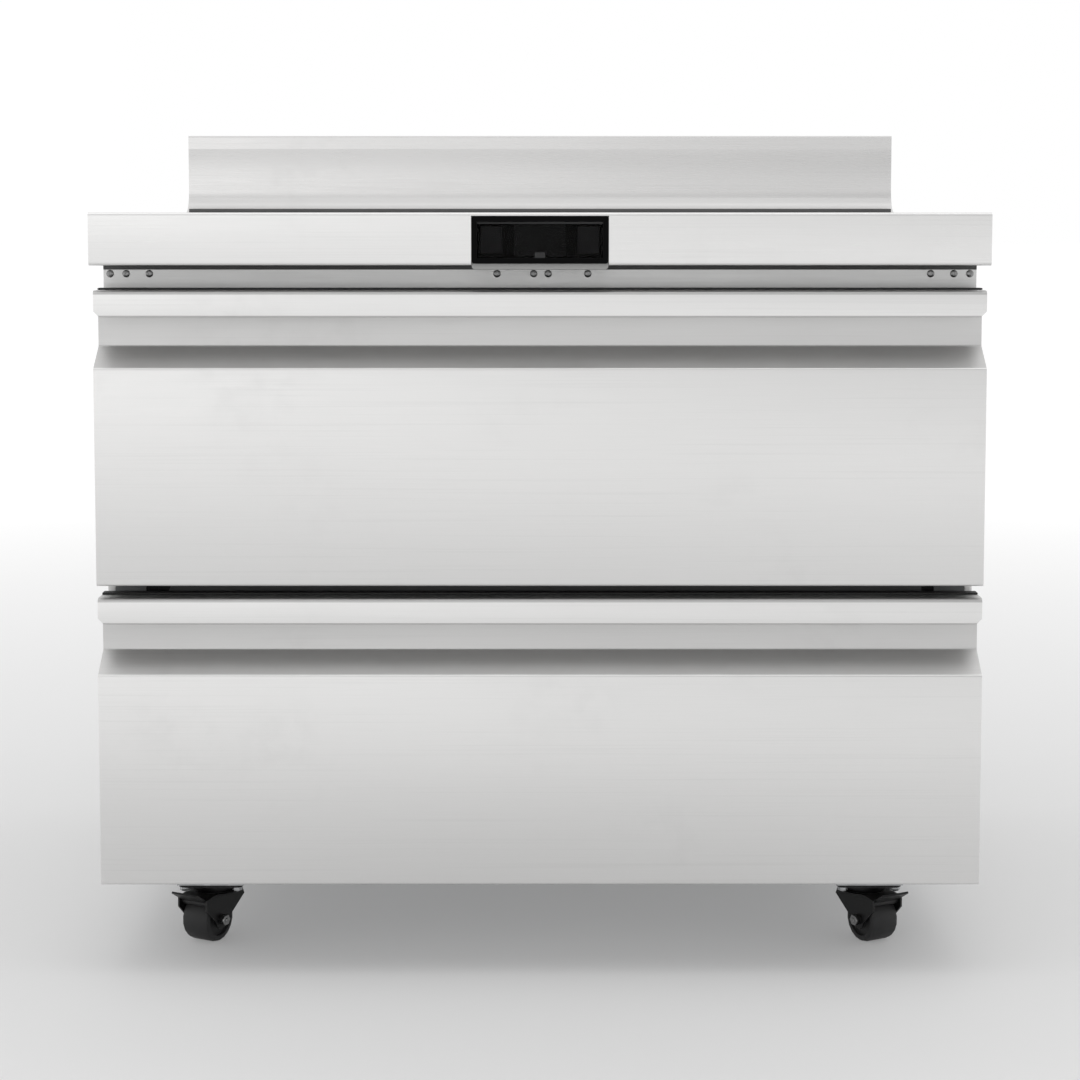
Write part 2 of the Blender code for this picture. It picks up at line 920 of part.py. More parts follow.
def make_base():
    """The floor sheet with two channels welded under it, and the caster plates bolted to those."""
    half = half_body - panel_sheet - touch_gap
    front = body_front + panel_sheet + touch_gap
    back = body_back - panel_sheet - touch_gap
    item = box("base_panel", (-half, front, body_bottom), (half, back, base_top))
    half_channel = caster_plate_width / 2
    for side in (-1, 1):
        middle = side * caster_x
        outer = rectangle(
            middle - half_channel,
            caster_height + touch_gap,
            middle + half_channel,
            base_top - base_sheet / 2,
        )
        inner = rectangle(
            middle - half_channel + channel_sheet,
            caster_height + touch_gap + channel_sheet,
            middle + half_channel - channel_sheet,
            body_bottom - channel_sheet / 2,
        )
        tray = slab(
            "caster_channel",
            [rounded(outer), rounded(inner)],
            body_front + channel_front_inset,
            body_back - channel_front_inset,
            "Y",
        )
        joined(item, tray)
    for plate in make_caster_plates():
        joined(item, plate)
    return as_part(item, "galvanised")


def make_top_rail():
    """The rail over the drawers, which closes the front of the cabinet under the worktop."""
    section = rounded(channel(body_front, frame_back, opening_top, body_top, panel_sheet))
    return as_part(slab("top_rail", [section], -half_body, half_body), "stainless")


def make_front_frame():
    """The moulded frame round the opening: two stiles and the sill under the lower drawer."""
    outer = half_body - side_flange - touch_gap
    top = opening_top - touch_gap
    outline = [
        (-outer, base_top + touch_gap),
        (outer, base_top + touch_gap),
        (outer, top),
        (half_opening, top),
        (half_opening, opening_bottom),
        (-half_opening, opening_bottom),
        (-half_opening, top),
        (-outer, top),
    ]
    return as_part(slab("front_frame", [outline], body_front, frame_back, "Y"), "grey_plastic")


def make_mullion():
    """The cross member between the drawers, with the stepped blocks that hold its ends."""
    inset_line = mullion_block_proud
    section = channel(
        body_front + inset_line,
        body_front + mullion_depth,
        mullion_bottom + inset_line,
        mullion_top - inset_line,
        mullion_sheet,
    )
    half = half_opening - touch_gap - mullion_block_width / 2
    item = slab("mullion", [rounded(section)], -half, half)
    return as_part(joined(item, mirrored(mullion_block())), "stainless")


def mullion_block():
    """An end block of the mullion, which stands proud of it and is stepped across the front."""
    step_line = (mullion_top + mullion_bottom) / 2 - mullion_block_step
    step_back = body_front + mullion_block_step_depth
    back = body_front + mullion_depth + mullion_block_proud
    outline = [
        (step_back, mullion_bottom),
        (back, mullion_bottom),
        (back, mullion_top),
        (body_front, mullion_top),
        (body_front, step_line),
        (step_back, step_line),
    ]
    inner = half_opening - touch_gap - mullion_block_width
    return slab("mullion_block", [outline], inner, half_opening - touch_gap)


def make_back_panel():
    half = half_body - panel_sheet - touch_gap
    item = box("back_panel", (-half, body_back - panel_sheet, bay_top), (half, body_back, body_top))
    return as_part(item, "galvanised")


def make_machine_cover():
    """The louvred cover of the machine bay, pressed outward over each slot."""
    half = half_body - panel_sheet - touch_gap
    bottom = base_top + touch_gap
    top = bay_top - touch_gap
    item = box("machine_cover", (-half, body_back - panel_sheet, bottom), (half, body_back, top))
    louvred_width = 2 * (half - louvre_side_margin)
    louvre_width = (louvred_width - (louvre_columns - 1) * louvre_column_gap) / louvre_columns
    lowest = (bottom + top) / 2 - (louvre_rows - 1) * louvre_pitch / 2 - louvre_height / 2
    slots = []
    for column in range(louvre_columns):
        left = -half + louvre_side_margin + column * (louvre_width + louvre_column_gap)
        for row in range(louvre_rows):
            low = lowest + row * louvre_pitch
            slots.append(((left, body_back - panel_sheet - overrun, low),
                          (left + louvre_width, body_back + overrun, low + louvre_height)))
    cut(item, boxes("louvre_slots", slots))
    hoods = []
    for slot_low, slot_high in slots:
        outline = [
            (body_back - panel_sheet / 2, slot_high[2]),
            (body_back + louvre_depth, slot_low[2]),
            (body_back + louvre_depth, slot_low[2] + 2 * panel_sheet),
            (body_back - panel_sheet / 2, slot_high[2] + 2 * panel_sheet),
        ]
        hoods.append(slab("louvre_hood", [outline], slot_low[0], slot_high[0]))
    all_hoods = together("louvre_hoods", hoods)
    joined(item, all_hoods)
    radius = gland_radius + touch_gap
    profile = [(0, overrun), (radius, overrun), (radius, -overrun), (0, -overrun)]
    bore = turn_to_y(turned("gland_hole", profile, small_segments))
    cut(item, moved(bore, at(gland_x, body_back, base_top + gland_height)))
    return as_part(item, "galvanised")


def together(name, pieces):
    """One object of several pieces that don't touch."""
    shape = bmesh.new()
    for piece in pieces:
        shape.from_mesh(piece.data)
        bpy.data.objects.remove(piece)
    return object_from(name, shape)


def make_gland():
    """The bored gland for the supply cord, through the machine cover."""
    outside = touch_gap + gland_flange
    profile = [
        (gland_bore_radius, outside),
        (gland_flange_radius, outside),
        (gland_flange_radius, touch_gap),
        (gland_radius, touch_gap),
        (gland_radius, -gland_length),
        (gland_bore_radius, -gland_length),
    ]
    item = turn_to_y(turned("cord_gland", profile, small_segments, closed=True))
    moved(item, at(gland_x, body_back, base_top + gland_height))
    return as_part(item, "black_plastic", smooth=True)


base_top = body_bottom + base_sheet
gland_x = half_body - gland_side_inset
line_hole_x = half_opening - line_hole_side_inset
line_hole_y = liner_high_back - line_hole_radius - line_hole_inset


# Drawers


def front_outline(top, bottom, with_hem):
    """The section in (Y, Z) of a drawer front: lip, finger pocket, slanted step and flat face."""
    lip_front = drawer_face + lip_setback
    recess_back = drawer_face + recess_depth
    lip_bottom = top - lip_height
    pocket_top = lip_bottom + pocket_rise
    outline = [
        (drawer_face, bottom, front_bend),
        (front_back, bottom, 0),
        (front_back, top, 0),
        (lip_front, top, lip_top_bend),
    ]
    if with_hem:
        outline += [
            (lip_front, lip_bottom, lip_hem / 2 - touch_gap),
            (lip_front + lip_hem, lip_bottom, lip_hem / 2 - touch_gap),
            (lip_front + lip_hem, pocket_top, 0),
        ]
    else:
        outline.append((lip_front, pocket_top, 0))
    outline += [
        (recess_back, pocket_top, front_bend),
        (recess_back, top - recess_height, front_bend),
        (drawer_face, top - slant_height, front_bend),
    ]
    return outline


def make_drawer_front(name, top, bottom):
    """The folded steel front with its full-width handle, open at the back for the foam."""
    item = slab(name, [rounded(front_outline(top, bottom, True))], -half_drawer, half_drawer)
    hollow = inset(front_outline(top, bottom, False), front_sheet)
    for index, (y, z, bend) in enumerate(hollow):
        if y > front_back - overrun:
            hollow[index] = (y + overrun, z, bend)
    inner_half = half_drawer - front_sheet
    cut(item, slab(name + "_hollow", [rounded(hollow)], -inner_half, inner_half))
    lip_bottom = top - lip_height
    corner = [
        (half_drawer - lip_corner_cut, lip_bottom - overrun),
        (half_drawer + overrun, lip_bottom - overrun),
        (half_drawer + overrun, lip_bottom + lip_corner_cut),
        (half_drawer, lip_bottom + lip_corner_cut),
        (half_drawer - lip_corner_cut, lip_bottom),
    ]
    corner_back = drawer_face + lip_setback + lip_hem + overrun
    clipped = slab(name + "_lip_corners", [corner], drawer_face - overrun, corner_back, "Y")
    cut(item, mirrored(clipped))
    return as_part(item, "stainless", smooth=True)


def make_inner_panel(name, top, bottom, space_bottom, space_top):
    """The formed inner panel with the raised dyke that enters the opening."""
    margin = front_sheet + touch_gap
    half = half_drawer - margin
    plate_front = front_back - inner_panel_sheet
    item = box(name, (-half, plate_front, bottom + margin), (half, front_back, top - margin))
    low = space_bottom + dyke_margin
    high = space_top - dyke_margin
    run_in = plate_front - 2 * dyke_bevel
    dyke = box(name + "_dyke", (-frame_half, run_in, low), (frame_half, dyke_back, high))
    joined(item, bevelled(dyke, dyke_bevel))
    sheet = inner_panel_sheet
    inside = box(
        name + "_dyke_inside",
        (-frame_half + sheet, run_in - overrun, low + sheet),
        (frame_half - sheet, dyke_back - sheet, high - sheet),
    )
    cut(item, bevelled(inside, dyke_bevel - sheet))
    trim = box(
        name + "_front_trim",
        (-half, run_in - 2 * overrun, bottom),
        (half, plate_front, top),
    )
    cut(item, trim)
    return as_part(item, "liner_white")


def bevelled(item, width):
    step = item.modifiers.new("rounded_edges", "BEVEL")
    step.width = width
    step.segments = bevel_segments
    return item


def make_gasket(name, top, bottom):
    """The magnetic gasket: a base, a narrow bellows and a magnet strip, mitred at the corners."""
    low = front_back + touch_gap
    high = body_front - touch_gap
    magnet = high - gasket_magnet_depth
    section = [
        (0, low),
        (0, low + gasket_waist / 2),
        (gasket_waist, (low + magnet) / 2),
        (0, magnet),
        (0, high),
        (gasket_width, high),
        (gasket_width, magnet),
        (gasket_width - gasket_waist, (low + magnet) / 2),
        (gasket_width, low + gasket_waist / 2),
        (gasket_width, low),
    ]
    half_wide = half_drawer - gasket_edge
    half_high = (top - bottom) / 2 - gasket_edge
    middle = (top + bottom) / 2
    return as_part(mitred_ring(name, section, half_wide, half_high, middle), "rubber")


def mitred_ring(name, section, half_wide, half_high, middle):
    """A frame in (X, Z) of one section, given as (distance in from the edge, y), mitred at its corners."""
    shape = bmesh.new()
    rings = []
    for inward, y in section:
        wide = half_wide - inward
        high = half_high - inward
        corners = ((-wide, -high), (wide, -high), (wide, high), (-wide, high))
        rings.append([shape.verts.new((x, y, middle + z)) for x, z in corners])
    for index, ring in enumerate(rings):
        before = rings[index - 1]
        for side in range(len(ring)):
            shape.faces.new((before[side - 1], before[side], ring[side], ring[side - 1]))
    bmesh.ops.recalc_face_normals(shape, faces=shape.faces)
    return object_from(name, shape)


def make_drawer_frame(name, space_bottom):
    """The open frame that carries the pans, flanged round its top and bottom, with slotted sides."""
    bottom = space_bottom + pan_clearance
    top = bottom + pan_depth
    item = box(name, (-frame_half, frame_front_y, bottom), (frame_half, frame_back_y, top))
    inner = box(
        name + "_inside",
        (-frame_half + frame_sheet, frame_front_y + frame_sheet, bottom + frame_sheet),
        (frame_half - frame_sheet, frame_back_y - frame_sheet, top - frame_sheet),
    )
    cut(item, inner)
    mouth = box(
        name + "_mouth",
        (-frame_half + frame_top_flange, frame_front_y + frame_top_flange, top - frame_sheet - overrun),
        (frame_half - frame_top_flange, frame_back_y - frame_top_flange, top + overrun),
    )
    cut(item, mouth)
    flange = frame_bottom_flange
    floor = box(
        name + "_floor",
        (-frame_half + flange, frame_front_y + flange, bottom - overrun),
        (frame_half - flange, frame_back_y - flange, bottom + frame_sheet + overrun),
    )
    cut(item, floor)
    run = frame_back_y - frame_front_y - 2 * frame_slot_margin
    pitch = run / frame_slot_count
    slot_length = pitch * frame_slot_share
    slot_middle = top - (pan_depth - slot_low(space_bottom) + bottom) / 2
    slots = []
    for index in range(frame_slot_count):
        y = frame_front_y + frame_slot_margin + (index + 1 / 2) * pitch
        corners = rectangle_about(y, slot_middle, slot_length, frame_slot_height)
        slots.append(rounded([(u, v, frame_slot_corner) for u, v, _ in corners], bevel_segments))
    cut(item, slab(name + "_slots", slots, -frame_half - overrun, frame_half + overrun))
    add_drawer_rails(item, name, space_bottom)
    return as_part(item, "stainless")


def slot_low(space_bottom):
    """Height of the top of a drawer's side rails, which the frame's slots stay above."""
    return space_bottom + rail_lift + rail_height


def add_drawer_rails(item, name, space_bottom):
    """Adds the side rails to a frame: a web, a flange over the front roller and a pin at the back."""
    rail_bottom = space_bottom + rail_lift
    flange_bottom = rail_bottom + rail_sheet + 2 * touch_gap + 2 * front_roller_radius
    flange_top = flange_bottom + rail_sheet
    flange_outer = rail_web_inner - roller_side_clearance
    root = frame_half - frame_sheet / 2
    section = [
        (root, rail_bottom + rail_sheet + touch_gap),
        (drawer_web_outer, rail_bottom + rail_sheet + touch_gap),
        (drawer_web_outer, flange_bottom),
        (flange_outer, flange_bottom),
        (flange_outer, flange_top),
        (root, flange_top),
    ]
    joined(item, mirrored(slab(name + "_rails", [section], frame_front_y, frame_back_y, "Y")))
    clear_of_roller = box(
        name + "_roller_space",
        (drawer_web_outer, rear_roller_y - rear_roller_radius - roller_stop, rail_bottom),
        (flange_outer + overrun, frame_back_y + overrun, flange_top + overrun),
    )
    cut(item, mirrored(clear_of_roller))
    roller_outer = drawer_web_outer + roller_side_clearance + roller_width
    centre_z = rail_bottom + rail_sheet + touch_gap + rear_roller_radius
    pin_root = (drawer_web_inner + drawer_web_outer) / 2
    pin = roller_pin(name + "_pin", pin_root, roller_outer, rear_roller_y, centre_z, 1)
    return joined(item, mirrored(pin))


def roller_pin(name, web_side, roller_side, y, z, outward):
    """A pin along X through a roller, with a low head beyond it."""
    head = roller_side + outward * touch_gap
    profile = [
        (0, head + outward * roller_pin_head),
        (roller_pin_head_radius, head + outward * roller_pin_head),
        (roller_pin_head_radius, head),
        (roller_pin_radius, head),
        (roller_pin_radius, web_side + outward * touch_gap),
        (0, web_side + outward * touch_gap),
    ]
    return moved(turn_to_x(turned(name, profile, small_segments)), at(0, y, z))


def flipped(item):
    """The mirror image of a piece across the middle plane."""
    item.data.transform(Matrix.Scale(-1, 4, (1, 0, 0)))
    item.data.flip_normals()
    return item


def make_cabinet_rail(name, space_bottom, side):
    """A fixed rail on the liner, a channel open toward the drawer with a roller pin in front."""
    rail_bottom = space_bottom + rail_lift
    section = [
        (rail_web_outer - rail_flange, rail_bottom),
        (rail_web_outer, rail_bottom),
        (rail_web_outer, rail_bottom + rail_height),
        (rail_web_outer - rail_flange, rail_bottom + rail_height),
        (rail_web_outer - rail_flange, rail_bottom + rail_height - rail_sheet),
        (rail_web_inner, rail_bottom + rail_height - rail_sheet),
        (rail_web_inner, rail_bottom + rail_sheet),
        (rail_web_outer - rail_flange, rail_bottom + rail_sheet),
    ]
    item = slab(name, [section], rail_front_y, rail_back_y, "Y")
    roller_inner = rail_web_inner - roller_side_clearance - roller_width
    centre_z = rail_bottom + rail_sheet + touch_gap + front_roller_radius
    pin_root = (rail_web_inner + rail_web_outer) / 2
    pin = roller_pin(name + "_pin", pin_root, roller_inner, front_roller_y, centre_z, -1)
    if side < 0:
        flipped(item)
        flipped(pin)
    joined(item, pin)
    return as_part(item, "galvanised")


def roller(name, radius, low, high):
    """A nylon roller along X, bored for its pin."""
    bore = roller_pin_radius + roller_pin_play
    profile = [
        (bore, high),
        (radius, high),
        (radius, low),
        (bore, low),
    ]
    return turn_to_x(turned(name, profile, small_segments, closed=True))


def make_roller(name, radius, inner, place, side):
    """A roller on one side of a drawer, with the object's origin on its axis."""
    item = roller(name, radius, inner, inner + roller_width)
    if side < 0:
        flipped(item)
    item.location = place
    return as_part(item, "grey_plastic", smooth=True)


# Casters, drawn with the kingpin on Z and the wheel trailing toward +Y, then turned and placed


def caster_place(corner):
    x, y, turn = caster_places[corner]
    return at(x, y, 0) @ Matrix.Rotation(turn, 4, "Z")


def make_caster_plates():
    """The four plates and, under each, the upper race with its kingpin, as two groups of solids."""
    half_x = caster_plate_width / 2 - channel_sheet / 2
    half_y = caster_plate_depth / 2
    plate_bottom = caster_height - caster_plate_sheet
    outline = rounded(rectangle(-half_x, -half_y, half_x, half_y, caster_plate_corner))
    plate = slab("caster_plate", [outline], plate_bottom, caster_height + channel_sheet / 2, "Z")
    race_bottom = plate_bottom - caster_boss_height
    head_top = crown_bottom - touch_gap
    profile = [
        (0, plate_bottom + caster_plate_sheet / 2),
        (caster_boss_radius, plate_bottom + caster_plate_sheet / 2),
        (caster_boss_radius, race_bottom + touch_gap),
        (caster_pin_radius, race_bottom + touch_gap),
        (caster_pin_radius, head_top),
        (caster_pin_head_radius, head_top),
        (caster_pin_head_radius, head_top - caster_pin_head),
        (0, head_top - caster_pin_head),
    ]
    boss = turned("caster_boss", profile, small_segments)
    places = [at(x, y, 0) for x, y, _ in caster_places.values()]
    tools = [copies("caster_plates", plate, places), copies("caster_bosses", boss, places)]
    for source in (plate, boss):
        bpy.data.objects.remove(source)
    return tools


def fork_side():
    """The side view of a fork leg: down from the crown to a round boss about the axle."""
    boss = fork_boss_radius
    points = []
    sweep = math.pi - 2 * fork_arc_margin
    for step in range(fork_arc_steps + 1):
        angle = math.pi + fork_arc_margin + step * sweep / fork_arc_steps
        points.append((wheel_trail + boss * math.cos(angle), wheel_radius + boss * math.sin(angle)))
    points += [
        (brake_pivot_reach + fork_ear, brake_pivot_height - fork_ear),
        (brake_pivot_reach + fork_ear, crown_bottom - touch_gap),
        (caster_crown_radius, crown_top),
        (-caster_race_radius, crown_top),
        (-caster_crown_radius, crown_bottom - fork_ear),
    ]
    return points


def make_fork(name, corner):
    """A pressed fork under its race, with the axle bolt and the ears that hold the brake's pin."""
    half_inner = wheel_width / 2 + wheel_side_gap
    half_outer = half_inner + caster_fork_sheet
    item = slab(name, [fork_side()], -half_outer, half_outer)
    throat = box(
        name + "_throat",
        (-half_inner, -caster_crown_radius - fork_ear - overrun, 0),
        (half_inner, brake_pivot_reach + fork_ear + overrun, crown_bottom),
    )
    cut(item, throat)
    hole = caster_pin_radius + caster_pin_play
    race_top = crown_top + caster_race_height
    crown = [
        (0, race_top),
        (caster_race_radius, race_top),
        (caster_race_radius, race_top - caster_race_height / 2),
        (caster_race_radius - caster_fork_sheet, crown_top),
        (caster_crown_radius, crown_top),
        (caster_crown_radius, crown_bottom),
        (0, crown_bottom),
    ]
    joined(item, turned(name + "_crown", crown, crown_segments))
    above = race_top + overrun
    below = crown_bottom - overrun
    bore = [(0, above), (hole, above), (hole, below), (0, below)]
    cut(item, turned(name + "_bore", bore, small_segments))
    end = half_outer + axle_head_height
    bolt = [
        (0, end),
        (axle_head_radius, end),
        (axle_head_radius, half_outer - touch_gap),
        (axle_radius, half_outer - touch_gap),
        (axle_radius, -half_outer + touch_gap),
        (axle_head_radius, -half_outer + touch_gap),
        (axle_head_radius, -end),
        (0, -end),
    ]
    axle = moved(turn_to_x(turned(name + "_axle", bolt, small_segments)), at(0, wheel_trail, wheel_radius))
    joined(item, axle)
    if corner.startswith("front"):
        tip = half_outer - touch_gap
        pin = [(0, tip), (brake_pin_radius, tip), (brake_pin_radius, -tip), (0, -tip)]
        pin_place = at(0, brake_pivot_reach, brake_pivot_height)
        joined(item, moved(turn_to_x(turned(name + "_brake_pin", pin, small_segments)), pin_place))
    item.matrix_world = caster_place(corner)
    carry_tools(item)
    return as_part(item, "black_paint")


def carry_tools(item):
    """Sets the objects that shape a piece at the piece's own place."""
    for step in item.modifiers:
        if step.type == "BOOLEAN":
            step.object.matrix_world = item.matrix_world.copy()


def make_wheel(name, corner):
    """A moulded wheel with rounded shoulders and recessed discs, bored for the axle."""
    half = wheel_width / 2
    bore = axle_radius + axle_play
    face = half - wheel_disc_recess
    quarter = math.pi / 2 / wheel_shoulder_steps
    side = [
        (bore, face),
        (wheel_disc_radius, face),
        (wheel_disc_radius, half),
    ]
    shoulder = [
        (
            wheel_radius - wheel_shoulder + wheel_shoulder * math.sin(step * quarter),
            half - wheel_shoulder + wheel_shoulder * math.cos(step * quarter),
        )
        for step in range(wheel_shoulder_steps + 1)
    ]
    upper = side + shoulder
    lower = [(radius, -height) for radius, height in reversed(upper)]
    item = turn_to_x(turned(name, upper + lower, wheel_segments, closed=True))
    item.matrix_world = caster_place(corner) @ at(0, wheel_trail, wheel_radius)
    return as_part(item, "rubber", smooth=True)


def make_brake(name, corner):
    """A brake pedal whose lobe turns down onto the tread."""
    half = wheel_width / 2 + wheel_side_gap - brake_side_gap
    toward_wheel = math.atan2(wheel_radius - brake_pivot_height, wheel_trail - brake_pivot_reach)
    lobe_angle = toward_wheel + brake_turn
    length = brake_barrel_radius + brake_tread_length
    sheet = brake_tread_sheet
    along = Vector((math.cos(brake_rest_slope), math.sin(brake_rest_slope)))
    across = Vector((-along.y, along.x))
    round_part = []
    start = brake_rest_slope + math.asin(sheet / 2 / brake_barrel_radius)
    sweep = math.tau - 2 * (start - brake_rest_slope)
    for step in range(brake_arc_steps + 1):
        angle = start + sweep * step / brake_arc_steps
        away = abs(math.remainder(angle - lobe_angle, math.tau))
        swell = brake_lobe * max(0, math.cos(away) ** brake_lobe_sharpness)
        round_part.append((brake_barrel_radius + swell) * Vector((math.cos(angle), math.sin(angle))))
    tread = [along * length - across * sheet / 2, along * length + across * sheet / 2]
    hole = circle(0, 0, brake_pin_radius + axle_play)
    item = slab(name, [round_part + tread, hole], -half, half)
    item.matrix_world = caster_place(corner) @ at(0, brake_pivot_reach, brake_pivot_height)
    return as_part(item, "black_plastic")


# Condensing unit, in the machine bay


def make_coil(name, place, width, height, depth, fins):
    """A block of tube rows with fins through it and return bends at both ends."""
    foot = Vector(place)
    pitch = width / fins
    core_end = (width - pitch) / 2
    core_half = depth * (1 - fin_depth_share) / 2
    item = box(
        name,
        foot + Vector((-core_end, -core_half, coil_fin_reach)),
        foot + Vector((core_end, core_half, height - coil_fin_reach)),
    )
    spans = []
    for index in range(fins - 1):
        middle = -core_end + (index + 1 / 2) * 2 * core_end / (fins - 1)
        half = pitch * fin_share / 2
        low = foot + Vector((middle - half, -depth / 2, 0))
        spans.append((low, low + Vector((2 * half, depth, height))))
    joined(item, boxes(name + "_fins", spans))
    bends = math.ceil(height / coil_row_pitch)
    rise = height / bends
    bend_tubes = []
    for side in (-1, 1):
        for index in range(bends):
            middle = foot + Vector((side * (core_end - coil_tube_radius / 2), 0, (index + 1 / 2) * rise))
            arc = []
            for step in range(bend_steps + 1):
                angle = math.pi * (step / bend_steps - 1 / 2)
                outward = Vector((side * math.cos(angle), 0, math.sin(angle)))
                arc.append(middle + coil_bend_radius * outward)
            bend_tubes.append(tube(name + "_bend", arc, coil_tube_radius))
    joined(item, together(name + "_bends", bend_tubes))
    return as_part(item, "aluminium")


def make_tray():
    """The slide-out tray of the condensing unit, with turned-up rims."""
    half = tray_half
    front = bay_front + tray_front_gap
    back = front + tray_depth
    item = box("unit_tray", (-half, front, tray_bottom), (half, back, tray_bottom + tray_rim))
    inside = box(
        "tray_inside",
        (-half + tray_sheet, front + tray_sheet, tray_floor),
        (half - tray_sheet, back - tray_sheet, tray_bottom + tray_rim + overrun),
    )
    cut(item, inside)
    return as_part(item, "galvanised")


def make_compressor():
    """The sealed compressor pot with its seam, feet on rubber grommets, terminal box and two stubs."""
    foot_bottom = compressor_foot_bottom
    foot_top = foot_bottom + compressor_foot_sheet
    shoulder = compressor_shoulder
    top = compressor_top
    seam = (foot_top + top) / 2
    profile = [(0, top)]
    for step in range(1, bend_steps + 2):
        angle = math.pi / 2 * step / (bend_steps + 1)
        profile.append((compressor_radius * math.sin(angle), top - shoulder + shoulder * math.cos(angle)))
    profile += [
        (compressor_radius, seam + compressor_seam),
        (compressor_radius + compressor_seam, seam + compressor_seam),
        (compressor_radius + compressor_seam, seam - compressor_seam),
        (compressor_radius, seam - compressor_seam),
        (compressor_radius, foot_top + shoulder),
        (compressor_radius - shoulder / 2, foot_bottom + compressor_foot_sheet / 2),
        (0, foot_bottom + compressor_foot_sheet / 2),
    ]
    item = moved(turned("compressor", profile), at(compressor_x, compressor_y, 0))
    half_x = compressor_foot_width / 2
    half_y = compressor_foot_depth / 2
    corner = grommet_radius + compressor_foot_sheet
    foot = rounded([
        (x + compressor_x, y + compressor_y, bend)
        for x, y, bend in rectangle(-half_x, -half_y, half_x, half_y, corner)
    ])
    joined(item, slab("compressor_foot", [foot], foot_bottom, foot_top, "Z"))
    grommets = []
    for side_x in (-1, 1):
        for side_y in (-1, 1):
            grommet = turned("grommet", [(0, foot_bottom + compressor_foot_sheet / 2),
                                         (grommet_radius, foot_bottom + compressor_foot_sheet / 2),
                                         (grommet_radius, tray_floor + touch_gap),
                                         (0, tray_floor + touch_gap)], small_segments)
            x = compressor_x + side_x * (half_x - corner)
            y = compressor_y + side_y * (half_y - corner)
            grommets.append(moved(grommet, at(x, y, 0)))
    joined(item, together("grommets", grommets))
    box_left = compressor_x - compressor_radius - terminal_box_depth
    box_top = seam - compressor_seam
    terminal = box(
        "terminal_box",
        (box_left, compressor_y - terminal_box_width / 2, box_top - terminal_box_height),
        (compressor_x - compressor_radius / 2, compressor_y + terminal_box_width / 2, box_top),
    )
    joined(item, terminal)
    stubs = []
    for stub_x in (suction_stub_x, discharge_stub_x):
        ends = [(stub_x, compressor_y, top - shoulder), (stub_x, compressor_y, stub_top)]
        stubs.append(tube("stub", ends, line_radius))
    joined(item, together("stubs", stubs))
    return as_part(item, "black_paint", smooth=True)


def make_shroud():
    """The fan shroud over the condenser's front face, with a round duct for the fan."""
    left = condenser_x - condenser_width / 2
    right = condenser_x + condenser_width / 2
    bottom = tray_floor + touch_gap
    top = bottom + condenser_height
    item = box("condenser_shroud", (left, shroud_front, bottom), (right, shroud_back, top))
    inside = box(
        "shroud_inside",
        (left + shroud_sheet, shroud_front + shroud_sheet, bottom + shroud_sheet),
        (right - shroud_sheet, shroud_back + overrun, top - shroud_sheet),
    )
    cut(item, inside)
    duct_inner = condenser_fan_radius + fan_tip_gap
    duct_outer = duct_inner + shroud_sheet
    ring = [
        (duct_inner, shroud_sheet / 2),
        (duct_outer, shroud_sheet / 2),
        (duct_outer, -fan_blade_depth),
        (duct_inner, -fan_blade_depth),
    ]
    place = at(condenser_x, shroud_front, condenser_fan_z)
    joined(item, moved(turn_to_y(turned("shroud_duct", ring, round_segments, closed=True)), place))
    bore = [(0, shroud_sheet + overrun), (duct_inner, shroud_sheet + overrun),
            (duct_inner, -fan_blade_depth - overrun), (0, -fan_blade_depth - overrun)]
    cut(item, moved(turn_to_y(turned("shroud_bore", bore, round_segments)), place))
    return as_part(item, "black_plastic")


def make_fan_blade(name, radius, place, motor_behind):
    """A hub with pitched blades on Y, bored on the motor's side for its shaft."""
    half_depth = fan_hub_depth / 2
    bore = motor_shaft_radius + touch_gap
    profile = [
        (0, half_depth),
        (fan_hub_radius, half_depth),
        (fan_hub_radius, -half_depth),
        (bore, -half_depth),
        (bore, 0),
        (0, 0),
    ]
    hub = turn_to_y(turned(name, profile, small_segments))
    root = fan_hub_radius * blade_root_share
    tip_half = radius * blade_tip_share
    root_half = radius * blade_root_width_share
    petal = [(root, -root_half)]
    for step in range(bend_steps * 2 + 1):
        v = tip_half * (step / bend_steps - 1)
        petal.append((math.sqrt(radius**2 - v**2), v))
    petal.append((root, root_half))
    blade = slab(name + "_blade", [petal], -fan_blade_sheet / 2, fan_blade_sheet / 2, "Y")
    blade.data.transform(Matrix.Rotation(blade_pitch, 4, "X"))
    turn = math.tau / fan_blade_count
    places = [Matrix.Rotation(turn * index, 4, "Y") for index in range(fan_blade_count)]
    blades = copies(name + "_blades", blade, places)
    bpy.data.objects.remove(blade)
    joined(hub, blades)
    if motor_behind:
        for item in (hub, blades):
            moved(item, Matrix.Rotation(math.pi, 4, "Z"))
    hub.location = place
    blades.location = place
    return as_part(hub, "black_plastic")


def motor_body(name, length, place):
    """A round motor on Y whose shaft points to +Y, its back face at the place given."""
    rim = motor_rim
    profile = [
        (0, length + motor_shaft_length),
        (motor_shaft_radius, length + motor_shaft_length),
        (motor_shaft_radius, length),
        (motor_radius - rim, length),
        (motor_radius, length - rim),
        (motor_radius, rim),
        (motor_radius - rim, 0),
        (0, 0),
    ]
    return moved(turn_to_y(turned(name, profile, small_segments)), at(*place))


